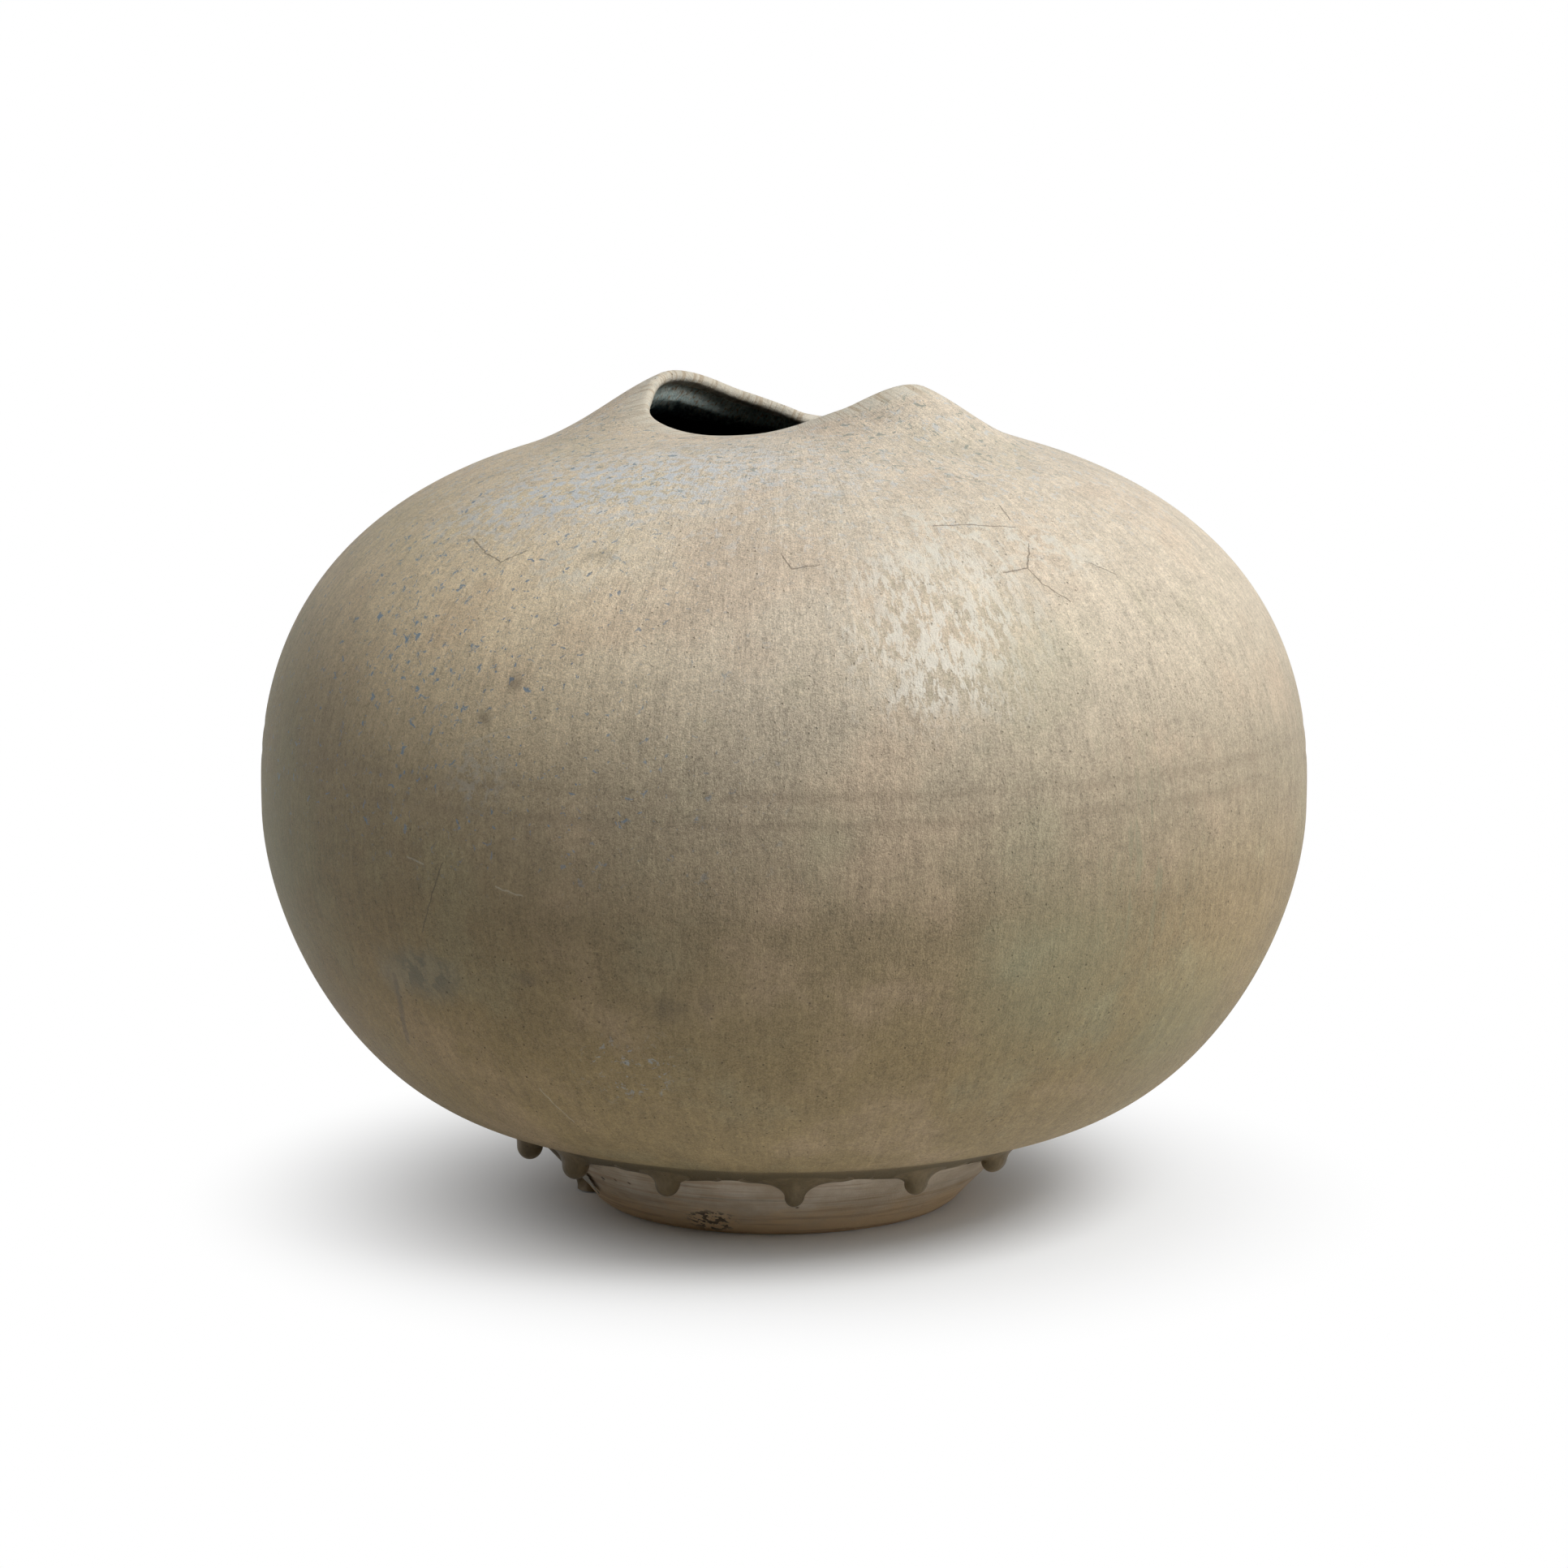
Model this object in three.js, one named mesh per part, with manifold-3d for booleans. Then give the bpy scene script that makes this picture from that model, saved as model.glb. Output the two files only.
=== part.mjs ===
// Globular stoneware pot on a small flaring foot, with a folded mouth that rises to two peaks.
// It is built as a potter builds one: a thrown foot ring, two thrown bowls luted rim to rim round
// the belly, a folded collar, and a coat of glaze outside and inside, with runs of glaze that hang
// from the thick edge above the foot.
// Millimetres, +Z up. The origin is the centre of the foot's resting face. The front of the pot
// faces -Y, and its left and right are those of someone who looks along +Y.
import * as THREE from 'three';
import { mergeVertices } from 'three/addons/utils/BufferGeometryUtils.js';
import Module from 'manifold-3d';

const wasm = await Module();
wasm.setup();

// Body, measured on the outside of the glaze
const BELLY_RADIUS = 200;
const BELLY_HEIGHT = 156;
const UPRIGHT_LENGTH_BELOW = 49; // how far the side stays upright under the widest ring
const UPRIGHT_LENGTH_ABOVE = 20; // and over it
const UNDERSIDE_HEIGHT = 33.4;
const UNDERSIDE_LEVEL_LENGTH = 62; // how far the underside runs out level from the foot
const UNDERSIDE_INSET = 4; // the bowl's underside starts this far in from the foot's flare
const SHOULDER_RADIUS = 100; // where the collar is luted on
const SHOULDER_HEIGHT = 290;
const SHOULDER_STRAIGHT_LENGTH = 110; // how far the shoulder keeps its slope
const SHOULDER_SLOPE = 17; // degrees

// Luted belly joint: a coil of clay pressed in between the two bowls
const BELLY_JOINT_HEIGHT = 176.7; // rim of the lower bowl
const BELLY_COIL_HEIGHT = 9.8;
const JOINT_GROOVE_DEPTH = 0.3; // faint dip in the glaze along both edges of the coil
const JOINT_GROOVE_HALF_WIDTH = 3;

// Wall, from the outer glaze surface to the inner one
const WALL_THICKNESS = 9;
const FLOOR_THICKNESS = 13;
const LIP_THICKNESS = 4.6;
const THINNING_START_RISE = 1.6; // from here up the wall thins towards the lip, see surface
const OUTER_GLAZE_THICKNESS = 1;
const INNER_GLAZE_THICKNESS = 1;
const SLIP_THICKNESS = 0.8;
const SLIP_INSET = 1; // the slip on the foot stays this far in from both edges
const CLEARANCE = 0.3; // between curved neighbours

// Folded mouth
const MOUTH_LENGTH = 112;
const MOUTH_WIDTH = 62;
const MOUTH_SQUARENESS = 3; // 2 is an ellipse, more is squarer
const MOUTH_TWIST = -7; // degrees, turns the long way of the mouth off the X axis
const MOUTH_SHIFT_RIGHT = 2.6; // the fold isn't quite centred on the pot
const MOUTH_SHIFT_FORWARD = 2.4;
const LIP_LOW_HEIGHT = 296.8;
const LIP_LIFT_HEIGHT = 20.7; // from the low back of the lip to its left peak
const LIP_SLOPE_AT_PEAKS = 23; // degrees, how steeply the collar meets the lip
const LIP_SLOPE_AT_LOWS = 1;
const GLAZE_LAP_LENGTH = 3; // the outer coat rolls over the lip and ends this far inside
// Share of the lift every 30 degrees, counted from the right-hand end anticlockwise from above:
// right end, back right, back, back left, left peak, left end, front left, front, right peak.
const LIP_LIFT_SHARES = [0.26, 0.01, 0, 0.3, 0.61, 1, 0.5, 0.05, 0.02, 0.175, 0.485, 0.915];

// Foot ring
const FOOT_BASE_RADIUS = 70;
const FOOT_BORE_RADIUS = 55;
const FOOT_FLARE_RADIUS = 101.6;
const FOOT_WAIST_SHARE = 0.4525; // the flank bends towards a point so far out from base to flare
const FOOT_WAIST_HEIGHT = 17.5;
const FOOT_LEAN = 2.8; // how far the foot's base lies to the left of its top
const FOOT_EDGE_ROUNDING = 1.2;

// Thick rolled edge of the outer glaze, which laps over the joint onto the foot's flank
const ROLL_WIDTH = 12;
const ROLL_DROP = 4;
const ROLL_LAP_ON_FOOT = 5;
const ROLL_LIP_WIDTH = 3; // the roll starts out from its edge with this width and height
const ROLL_LIP_HEIGHT = 1.2;
const ROLL_FULLEST_BEYOND_FLARE = 1;

// Runs of glaze, round beads that hang straight down: bearing in degrees from the front, positive
// to the right, width of the bead at its tip and at its root, how far in from the foot's flare it
// hangs and how high over the ground its tip is. Those from 95 to 232 degrees are on the hidden
// side, spaced and sized like the ones in view.
const RUN_ROOT_SINK = 1; // how far the roots reach out past the tips and up over the underside
const GLAZE_RUNS = [
  { name: 'glaze_run_far_left', bearing: -68.8, width: 10, rootWidth: 13, inset: -1.4, tipHeight: 21.2 },
  { name: 'glaze_run_left', bearing: -51.4, width: 10, rootWidth: 25, inset: 2.6, tipHeight: 19.6 },
  { name: 'glaze_run_front_left', bearing: -25.5, width: 9, rootWidth: 38, inset: 3.6, tipHeight: 19.8 },
  { name: 'glaze_run_front', bearing: 2.8, width: 7.2, rootWidth: 40, inset: 3.6, tipHeight: 18.2 },
  { name: 'glaze_run_front_right', bearing: 30.4, width: 8.4, rootWidth: 36, inset: 3.6, tipHeight: 19.4 },
  { name: 'glaze_run_right', bearing: 53.2, width: 9.5, rootWidth: 26, inset: 2.6, tipHeight: 21.7 },
  { name: 'glaze_run_back_right', bearing: 95, width: 9, rootWidth: 26, inset: 3, tipHeight: 20.5 },
  { name: 'glaze_run_rear_right', bearing: 131, width: 8, rootWidth: 30, inset: 3.6, tipHeight: 18.6 },
  { name: 'glaze_run_rear', bearing: 164, width: 10, rootWidth: 28, inset: 2.4, tipHeight: 19.4 },
  { name: 'glaze_run_rear_left', bearing: 199, width: 8.5, rootWidth: 25, inset: 3.4, tipHeight: 20.8 },
  { name: 'glaze_run_back_left', bearing: 232, width: 9, rootWidth: 29, inset: 3, tipHeight: 19 },
];
// The longest run followed the flank down, pooled on the kiln shelf and was ground off flat there
const LONG_RUN_BEARING = -90;
const LONG_RUN_WIDTH = 9;
const LONG_RUN_ROOT_WIDTH = 27;
const LONG_RUN_POOL_WIDTH = 15;
const LONG_RUN_POOL_HEIGHT = 6;
const LONG_RUN_STAND_OFF = 0.5; // from the foot's base to the line of the bead
const LONG_RUN_GROUND_GAP = 0.5;

// Blank paper label, stuck to the left flank of the foot
const LABEL_WIDTH = 13;
const LABEL_LENGTH = 15;
const LABEL_THICKNESS = 0.3;
const LABEL_BEARING = -67; // degrees
const LABEL_LOW_HEIGHT = 7.5;
const LABEL_CURL = 1; // how far its front edge has lifted

// Fineness of the facets: columns round the axis, rows in the clay, and rows in the outer face
// of the glaze, which is the surface that shows
const COLUMNS = 44;
const LOWER_ROWS = 4;
const UPPER_ROWS = 3;
const COLLAR_ROWS = 4;
const CREST_STEPS = 3;
const FLANK_ROWS = 4;
const GLAZE_LOWER_ROWS = 7;
const GLAZE_UPPER_ROWS = 5;
const GLAZE_COLLAR_ROWS = 7;
const RUN_SIDES = 10;
const RUN_ROWS = 4;
const TIP_STEPS = 3;
const ROLL_STEPS = 4;
const LABEL_COLUMNS = 5;
const LABEL_ROWS = 3;
const LOWEST_ROW_RISE = 0.1; // see surface for what a rise is
const FIRST_ROW_RISE_OVER_COIL = 1.3;

const TURN = 2 * Math.PI;
const radians = THREE.MathUtils.degToRad;
const FOOT_RING_HEIGHT = UNDERSIDE_HEIGHT - SLIP_THICKNESS;
const UNDERSIDE_START_RADIUS = FOOT_FLARE_RADIUS - UNDERSIDE_INSET;
const FOOT_WAIST_RADIUS = THREE.MathUtils.lerp(FOOT_BASE_RADIUS, FOOT_FLARE_RADIUS, FOOT_WAIST_SHARE);
const OUTER_CLAY_DEPTH = OUTER_GLAZE_THICKNESS + CLEARANCE;
const COLLAR_JOINT = 2; // rise at the shoulder joint, see surface
const LIP_RISE = 3;

// Meridian of the body, from the foot joint out to the belly and up to the shoulder
const lowerCurve = new THREE.CubicBezierCurve(
  new THREE.Vector2(UNDERSIDE_START_RADIUS, UNDERSIDE_HEIGHT),
  new THREE.Vector2(UNDERSIDE_START_RADIUS + UNDERSIDE_LEVEL_LENGTH, UNDERSIDE_HEIGHT),
  new THREE.Vector2(BELLY_RADIUS, BELLY_HEIGHT - UPRIGHT_LENGTH_BELOW),
  new THREE.Vector2(BELLY_RADIUS, BELLY_HEIGHT),
);
const upperCurve = new THREE.CubicBezierCurve(
  new THREE.Vector2(BELLY_RADIUS, BELLY_HEIGHT),
  new THREE.Vector2(BELLY_RADIUS, BELLY_HEIGHT + UPRIGHT_LENGTH_ABOVE),
  new THREE.Vector2(
    SHOULDER_RADIUS + SHOULDER_STRAIGHT_LENGTH * Math.cos(radians(SHOULDER_SLOPE)),
    SHOULDER_HEIGHT - SHOULDER_STRAIGHT_LENGTH * Math.sin(radians(SHOULDER_SLOPE)),
  ),
  new THREE.Vector2(SHOULDER_RADIUS, SHOULDER_HEIGHT),
);

// Flank of the foot, from its base up to the flare under the bowl
const flankCurve = new THREE.QuadraticBezierCurve(
  new THREE.Vector2(FOOT_BASE_RADIUS, 0),
  new THREE.Vector2(FOOT_WAIST_RADIUS, FOOT_WAIST_HEIGHT),
  new THREE.Vector2(FOOT_FLARE_RADIUS, FOOT_RING_HEIGHT),
);

// How far what stands at a height is shifted to the left by the foot's lean
function leanAt(z) {
  return FOOT_LEAN * Math.max(0, 1 - z / FOOT_RING_HEIGHT);
}

// A point at radius r and height z, turned by an angle about the axis
function around(turn, r, z) {
  return new THREE.Vector3(r * Math.cos(turn) - leanAt(z), r * Math.sin(turn), z);
}

// A direction that leads so far outwards and so far up
function direction(turn, outward, upward) {
  return new THREE.Vector3(outward * Math.cos(turn), outward * Math.sin(turn), upward);
}

// Share of the lip's lift at an angle: a cubic through the twelve even stations
function liftShare(turn) {
  const stations = LIP_LIFT_SHARES.length;
  const place = (((turn / TURN) % 1) + 1) % 1 * stations;
  const first = Math.floor(place);
  const u = place - first;
  const [a, b, c, d] = [-1, 0, 1, 2].map((k) => LIP_LIFT_SHARES[(first + k + stations) % stations]);
  return b + 0.5 * u * (c - a + u * (2 * a - 5 * b + 4 * c - d + u * (3 * (b - c) + d - a)));
}

// Lip at an angle about the mouth's own centre, a squarish oval turned by the mouth's twist
function lipPoint(turn) {
  const angle = turn - radians(MOUTH_TWIST);
  const along = Math.abs(Math.cos(angle)) / (MOUTH_LENGTH / 2);
  const across = Math.abs(Math.sin(angle)) / (MOUTH_WIDTH / 2);
  const r = (along ** MOUTH_SQUARENESS + across ** MOUTH_SQUARENESS) ** (-1 / MOUTH_SQUARENESS);
  const centre = new THREE.Vector3(MOUTH_SHIFT_RIGHT, -MOUTH_SHIFT_FORWARD, LIP_LOW_HEIGHT);
  return centre.add(direction(turn, r, LIP_LIFT_HEIGHT * liftShare(turn)));
}

// Collar surface: a smooth curve at each angle from the shoulder circle in and up to the lip,
// leaving along the shoulder's slope and arriving at the lip's own slope
function collarPoint(turn, s) {
  const shoulder = around(turn, SHOULDER_RADIUS, SHOULDER_HEIGHT);
  const lip = lipPoint(turn);
  const span = shoulder.distanceTo(lip);
  const startSlope = radians(SHOULDER_SLOPE);
  const endSlope = radians(THREE.MathUtils.lerp(LIP_SLOPE_AT_LOWS, LIP_SLOPE_AT_PEAKS, liftShare(turn)));
  const fromStart = 2 * s ** 3 - 3 * s ** 2 + 1;
  return shoulder.multiplyScalar(fromStart)
    .addScaledVector(lip, 1 - fromStart)
    .addScaledVector(direction(turn, -Math.cos(startSlope), Math.sin(startSlope)), span * s * (1 - s) ** 2)
    .addScaledVector(direction(turn, -Math.cos(endSlope), Math.sin(endSlope)), -span * s ** 2 * (1 - s));
}

// Outer surface of the whole pot with its outward normal and its upward direction.
// rise is 0 to 1 from the foot joint to the belly, 1 to 2 to the shoulder and 2 to 3 to the lip.
function surface(turn, rise) {
  if (rise <= COLLAR_JOINT) {
    const curve = rise <= 1 ? lowerCurve : upperCurve;
    const u = rise <= 1 ? rise : rise - 1;
    const p = curve.getPointAt(u);
    const t = curve.getTangentAt(u);
    return {
      point: around(turn, p.x, p.y),
      normal: direction(turn, t.y, -t.x),
      up: direction(turn, t.x, t.y),
    };
  }
  const step = 1e-4;
  const s = rise - COLLAR_JOINT;
  const up = collarPoint(turn, s).sub(collarPoint(turn, s - step)).normalize();
  const side = collarPoint(turn + step, s).sub(collarPoint(turn - step, s)).normalize();
  return { point: collarPoint(turn, s), normal: side.cross(up).normalize(), up };
}

// Thickness of the wall with both coats: thick over the floor, thin at the lip
function wallThickness(rise) {
  if (rise < 1) return THREE.MathUtils.lerp(WALL_THICKNESS, FLOOR_THICKNESS, (1 - rise) ** 2);
  const thinning = THREE.MathUtils.smoothstep(rise, THINNING_START_RISE, LIP_RISE);
  return THREE.MathUtils.lerp(WALL_THICKNESS, LIP_THICKNESS, thinning);
}

// A point inside the wall: so deep under the outer surface, and so far on past it in the
// upward direction
function wallPoint(turn, rise, depth, onward = 0) {
  const { point, normal, up } = surface(turn, rise);
  return point.addScaledVector(normal, -depth).addScaledVector(up, onward);
}

// Rise at which the wall at a given depth passes a height on the body
function riseAtHeight(height, depth) {
  let low = 0;
  let high = COLLAR_JOINT;
  for (let k = 0; k < 40; k += 1) {
    const middle = (low + high) / 2;
    if (wallPoint(0, middle, depth).z < height) low = middle;
    else high = middle;
  }
  return (low + high) / 2;
}

// Even steps from one number to another, both ends included
function steps(from, to, count) {
  return Array.from({ length: count + 1 }, (_, k) => from + ((to - from) * k) / count);
}

const atWall = (rise, depth, onward = 0) => (turn) => wallPoint(turn, rise, depth, onward);
const atRing = (r, z) => (turn) => around(turn, r, z);

// Depths of the layers' faces in the wall
const clayBack = (rise) => wallThickness(rise)
  - Math.max(OUTER_GLAZE_THICKNESS, INNER_GLAZE_THICKNESS) - CLEARANCE;
const outsideOfClay = (rise) => atWall(rise, OUTER_CLAY_DEPTH);
const insideOfClay = (rise) => atWall(rise, clayBack(rise));

// Distance from the pot's axis
const reach = (point) => Math.hypot(point.x, point.y);

// Closed solid from a closed section, given as points that depend on the angle of turn
function turned(section) {
  const rows = section.length;
  const points = [];
  for (let c = 0; c < COLUMNS; c += 1) {
    section.forEach((point) => points.push(point((TURN * c) / COLUMNS)));
  }
  const index = [];
  const addTriangle = (a, b, c) => {
    const flat = [[a, b], [b, c], [c, a]].some(([i, j]) => points[i].distanceTo(points[j]) < 1e-6);
    if (!flat) index.push(a, b, c);
  };
  for (let c = 0; c < COLUMNS; c += 1) {
    const next = (c + 1) % COLUMNS;
    for (let k = 0; k < rows; k += 1) {
      const above = (k + 1) % rows;
      const [a, b, d, e] = [c * rows + k, next * rows + k, next * rows + above, c * rows + above];
      // Layers that lie against each other split their facets along the same diagonal
      if (reach(points[e]) < reach(points[a])) {
        addTriangle(a, b, d);
        addTriangle(a, d, e);
      } else {
        addTriangle(a, b, e);
        addTriangle(b, d, e);
      }
    }
  }
  const geometry = new THREE.BufferGeometry().setFromPoints(points);
  geometry.setIndex(index);
  return mergeVertices(geometry);
}

function toSolid(geometry) {
  const bare = geometry.clone();
  bare.deleteAttribute('normal');
  bare.deleteAttribute('uv');
  const merged = mergeVertices(bare, 1e-4);
  return new wasm.Manifold(new wasm.Mesh({
    numProp: 3,
    vertProperties: new Float32Array(merged.attributes.position.array),
    triVerts: new Uint32Array(merged.index.array),
  }));
}

function toGeometry(solid) {
  const mesh = solid.getMesh();
  const geometry = new THREE.BufferGeometry();
  geometry.setAttribute('position', new THREE.BufferAttribute(new Float32Array(mesh.vertProperties), 3));
  geometry.setIndex([...mesh.triVerts]);
  return geometry;
}

// Foot ring: flat resting face, rounded outer edge, flared flank and plain bore
function footRing() {
  const flank = steps(0, 1, FLANK_ROWS).slice(1).map((s) => flankCurve.getPoint(s));
  return turned([
    atRing(FOOT_BORE_RADIUS, 0),
    atRing(FOOT_BASE_RADIUS - FOOT_EDGE_ROUNDING, 0),
    atRing(FOOT_BASE_RADIUS, FOOT_EDGE_ROUNDING),
    ...flank.map((p) => atRing(p.x, p.y)),
    atRing(FOOT_BORE_RADIUS, FOOT_RING_HEIGHT),
  ]);
}

// Slip between the foot ring and the bowl, set back a little from both edges
function footSlip() {
  const inner = FOOT_BORE_RADIUS + SLIP_INSET;
  const outer = UNDERSIDE_START_RADIUS - SLIP_INSET;
  return turned([
    atRing(inner, FOOT_RING_HEIGHT),
    atRing(outer, FOOT_RING_HEIGHT),
    atRing(outer, UNDERSIDE_HEIGHT),
    atRing(inner, UNDERSIDE_HEIGHT),
  ]);
}

// Rises of the rows that the lower clay and the coats over it share
const lowerRises = steps(LOWEST_ROW_RISE, 1, LOWER_ROWS);
const upperRises = steps(FIRST_ROW_RISE_OVER_COIL, COLLAR_JOINT, UPPER_ROWS);
const collarRises = steps(COLLAR_JOINT, LIP_RISE, COLLAR_ROWS);
const coilFoot = BELLY_JOINT_HEIGHT;
const coilTop = BELLY_JOINT_HEIGHT + BELLY_COIL_HEIGHT;
const floorClayHeight = UNDERSIDE_HEIGHT + clayBack(0);
const floorGlazeHeight = UNDERSIDE_HEIGHT + FLOOR_THICKNESS;

// A level cut through the wall at a height, at the outer and the inner face of the clay
function clayAtHeight(height) {
  const backDepth = clayBack(riseAtHeight(height, 0));
  return {
    outside: atWall(riseAtHeight(height, OUTER_CLAY_DEPTH), OUTER_CLAY_DEPTH),
    inside: atWall(riseAtHeight(height, backDepth), backDepth),
  };
}

function lowerBowl() {
  const rim = clayAtHeight(coilFoot);
  return turned([
    atRing(0, UNDERSIDE_HEIGHT),
    atRing(UNDERSIDE_START_RADIUS, UNDERSIDE_HEIGHT),
    ...lowerRises.map(outsideOfClay),
    rim.outside,
    rim.inside,
    ...lowerRises.toReversed().map(insideOfClay),
    atRing(UNDERSIDE_START_RADIUS, floorClayHeight),
    atRing(0, floorClayHeight),
  ]);
}

function bellyCoil() {
  const foot = clayAtHeight(coilFoot);
  const top = clayAtHeight(coilTop);
  return turned([foot.outside, top.outside, top.inside, foot.inside]);
}

// The collar joint is cut square to the wall, with the slip between the two cuts
const slipTop = -CLEARANCE;
const slipFoot = slipTop - SLIP_THICKNESS;
const bowlTop = slipFoot - CLEARANCE;

function upperBowl() {
  const rim = clayAtHeight(coilTop);
  const rises = upperRises.slice(0, -1);
  return turned([
    rim.outside,
    ...rises.map(outsideOfClay),
    atWall(COLLAR_JOINT, OUTER_CLAY_DEPTH, bowlTop),
    atWall(COLLAR_JOINT, clayBack(COLLAR_JOINT), bowlTop),
    ...rises.toReversed().map(insideOfClay),
    rim.inside,
  ]);
}

function collarSlip() {
  const back = clayBack(COLLAR_JOINT);
  return turned([
    atWall(COLLAR_JOINT, OUTER_CLAY_DEPTH, slipFoot),
    atWall(COLLAR_JOINT, OUTER_CLAY_DEPTH, slipTop),
    atWall(COLLAR_JOINT, back, slipTop),
    atWall(COLLAR_JOINT, back, slipFoot),
  ]);
}

// Half-round over the lip, through the middle of the wall, from the outer face to the inner one
function crest(skin) {
  const middle = LIP_THICKNESS / 2;
  const radius = middle - skin;
  return steps(0, Math.PI, CREST_STEPS).map((a) => (
    atWall(LIP_RISE, middle - radius * Math.cos(a), radius * Math.sin(a))
  ));
}

function mouthCollar() {
  const rises = collarRises.slice(0, -1);
  return turned([
    ...rises.map(outsideOfClay),
    ...crest(LIP_THICKNESS - clayBack(LIP_RISE)),
    atWall(LIP_RISE, clayBack(LIP_RISE), -GLAZE_LAP_LENGTH),
    ...rises.toReversed().map(insideOfClay),
  ]);
}

// Lower edge of the outer coat: a fat roll that bulges under the bowl and thins onto the foot
const rollStart = FOOT_FLARE_RADIUS + ROLL_WIDTH;
const edgeHeight = FOOT_RING_HEIGHT - ROLL_LAP_ON_FOOT;

// Share of the way up the flank at a height
function flankShareAt(height) {
  let low = 0;
  let high = 1;
  for (let k = 0; k < 40; k += 1) {
    const middle = (low + high) / 2;
    if (flankCurve.getPoint(middle).y < height) low = middle;
    else high = middle;
  }
  return low;
}

// A point that stands off the foot's flank by a distance square to it
function offFlank(share, distance) {
  const p = flankCurve.getPoint(share);
  const t = flankCurve.getTangent(share);
  return new THREE.Vector2(p.x + distance * t.y, p.y - distance * t.x);
}

// Rise at which the underside passes a radius
function riseAtRadius(radius) {
  let low = 0;
  let high = 1;
  for (let k = 0; k < 40; k += 1) {
    const middle = (low + high) / 2;
    if (lowerCurve.getPointAt(middle).x < radius) low = middle;
    else high = middle;
  }
  return low;
}

const rollRise = riseAtRadius(rollStart);
const edgeShare = flankShareAt(edgeHeight);
const rollEdge = offFlank(edgeShare, OUTER_GLAZE_THICKNESS + CLEARANCE);
const rollTop = lowerCurve.getPointAt(rollRise);
const rollCurve = new THREE.CubicBezierCurve(
  rollEdge,
  new THREE.Vector2(rollEdge.x + ROLL_LIP_WIDTH, rollEdge.y + ROLL_LIP_HEIGHT),
  new THREE.Vector2(FOOT_FLARE_RADIUS + ROLL_FULLEST_BEYOND_FLARE, UNDERSIDE_HEIGHT - ROLL_DROP),
  rollTop,
);

function outerGlaze() {
  const roll = steps(0, 1, ROLL_STEPS).map((s) => rollCurve.getPoint(s));
  const side = [
    ...steps(rollRise, 1, GLAZE_LOWER_ROWS).slice(1),
    riseAtHeight(coilFoot - JOINT_GROOVE_HALF_WIDTH, 0),
  ];
  const band = riseAtHeight((coilFoot + coilTop) / 2, 0);
  const above = riseAtHeight(coilTop + JOINT_GROOVE_HALF_WIDTH, 0);
  const crown = [
    ...steps(above, COLLAR_JOINT, GLAZE_UPPER_ROWS),
    ...steps(COLLAR_JOINT, LIP_RISE, GLAZE_COLLAR_ROWS).slice(1, -1),
  ];
  const backOfCoat = (rise) => atWall(rise, OUTER_GLAZE_THICKNESS);
  return turned([
    ...roll.map((p) => atRing(p.x, p.y)),
    ...side.map((rise) => atWall(rise, 0)),
    atWall(riseAtHeight(coilFoot, 0), JOINT_GROOVE_DEPTH),
    atWall(band, 0),
    atWall(riseAtHeight(coilTop, 0), JOINT_GROOVE_DEPTH),
    ...crown.map((rise) => atWall(rise, 0)),
    ...crest(0),
    atWall(LIP_RISE, LIP_THICKNESS, -GLAZE_LAP_LENGTH),
    atWall(LIP_RISE, LIP_THICKNESS - OUTER_GLAZE_THICKNESS, -GLAZE_LAP_LENGTH),
    ...crest(OUTER_GLAZE_THICKNESS).toReversed(),
    ...collarRises.slice(0, -1).toReversed().map(backOfCoat),
    ...upperRises.slice(0, -1).toReversed().map(backOfCoat),
    atWall(riseAtHeight(coilTop, OUTER_GLAZE_THICKNESS), OUTER_GLAZE_THICKNESS),
    atWall(riseAtHeight(coilFoot, OUTER_GLAZE_THICKNESS), OUTER_GLAZE_THICKNESS),
    ...lowerRises.toReversed().map(backOfCoat),
    ...steps(1, edgeShare, 2).map((s) => offFlank(s, CLEARANCE)).map((p) => atRing(p.x, p.y)),
  ]);
}

function innerGlaze() {
  const front = (rise) => atWall(rise, wallThickness(rise) - INNER_GLAZE_THICKNESS);
  const face = (rise) => atWall(rise, wallThickness(rise));
  const top = -GLAZE_LAP_LENGTH - CLEARANCE;
  const coilRises = [coilFoot, coilTop].map((z) => riseAtHeight(z, WALL_THICKNESS));
  const rises = [...lowerRises, ...coilRises, ...upperRises, ...collarRises.slice(1, -1)];
  return turned([
    atRing(0, floorGlazeHeight - INNER_GLAZE_THICKNESS),
    atRing(UNDERSIDE_START_RADIUS, floorGlazeHeight - INNER_GLAZE_THICKNESS),
    ...rises.map(front),
    atWall(LIP_RISE, LIP_THICKNESS - INNER_GLAZE_THICKNESS, top),
    atWall(LIP_RISE, LIP_THICKNESS, top),
    ...rises.toReversed().map(face),
    atRing(UNDERSIDE_START_RADIUS, floorGlazeHeight),
    atRing(0, floorGlazeHeight),
  ]);
}

// Everything that a run must stay clear of: the foot, the roll and the underside, grown outwards
// by the clearance
function runClearanceBody() {
  const flank = steps(0, edgeShare, FLANK_ROWS).map((s) => offFlank(s, CLEARANCE));
  const roll = steps(0, 1, ROLL_STEPS).map((s) => {
    const p = rollCurve.getPoint(s);
    const t = rollCurve.getTangent(s);
    return new THREE.Vector2(p.x + CLEARANCE * t.y, p.y - CLEARANCE * t.x);
  });
  const underGround = -ROLL_WIDTH;
  const top = BELLY_HEIGHT / 2;
  return toSolid(turned([
    atRing(0, underGround),
    atRing(flank[0].x, underGround),
    ...flank.map((p) => atRing(p.x, p.y)),
    ...roll.map((p) => atRing(p.x, p.y)),
    atRing(rollTop.x + ROLL_WIDTH, top),
    atRing(0, top),
  ]));
}

const runClearance = runClearanceBody();

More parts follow.
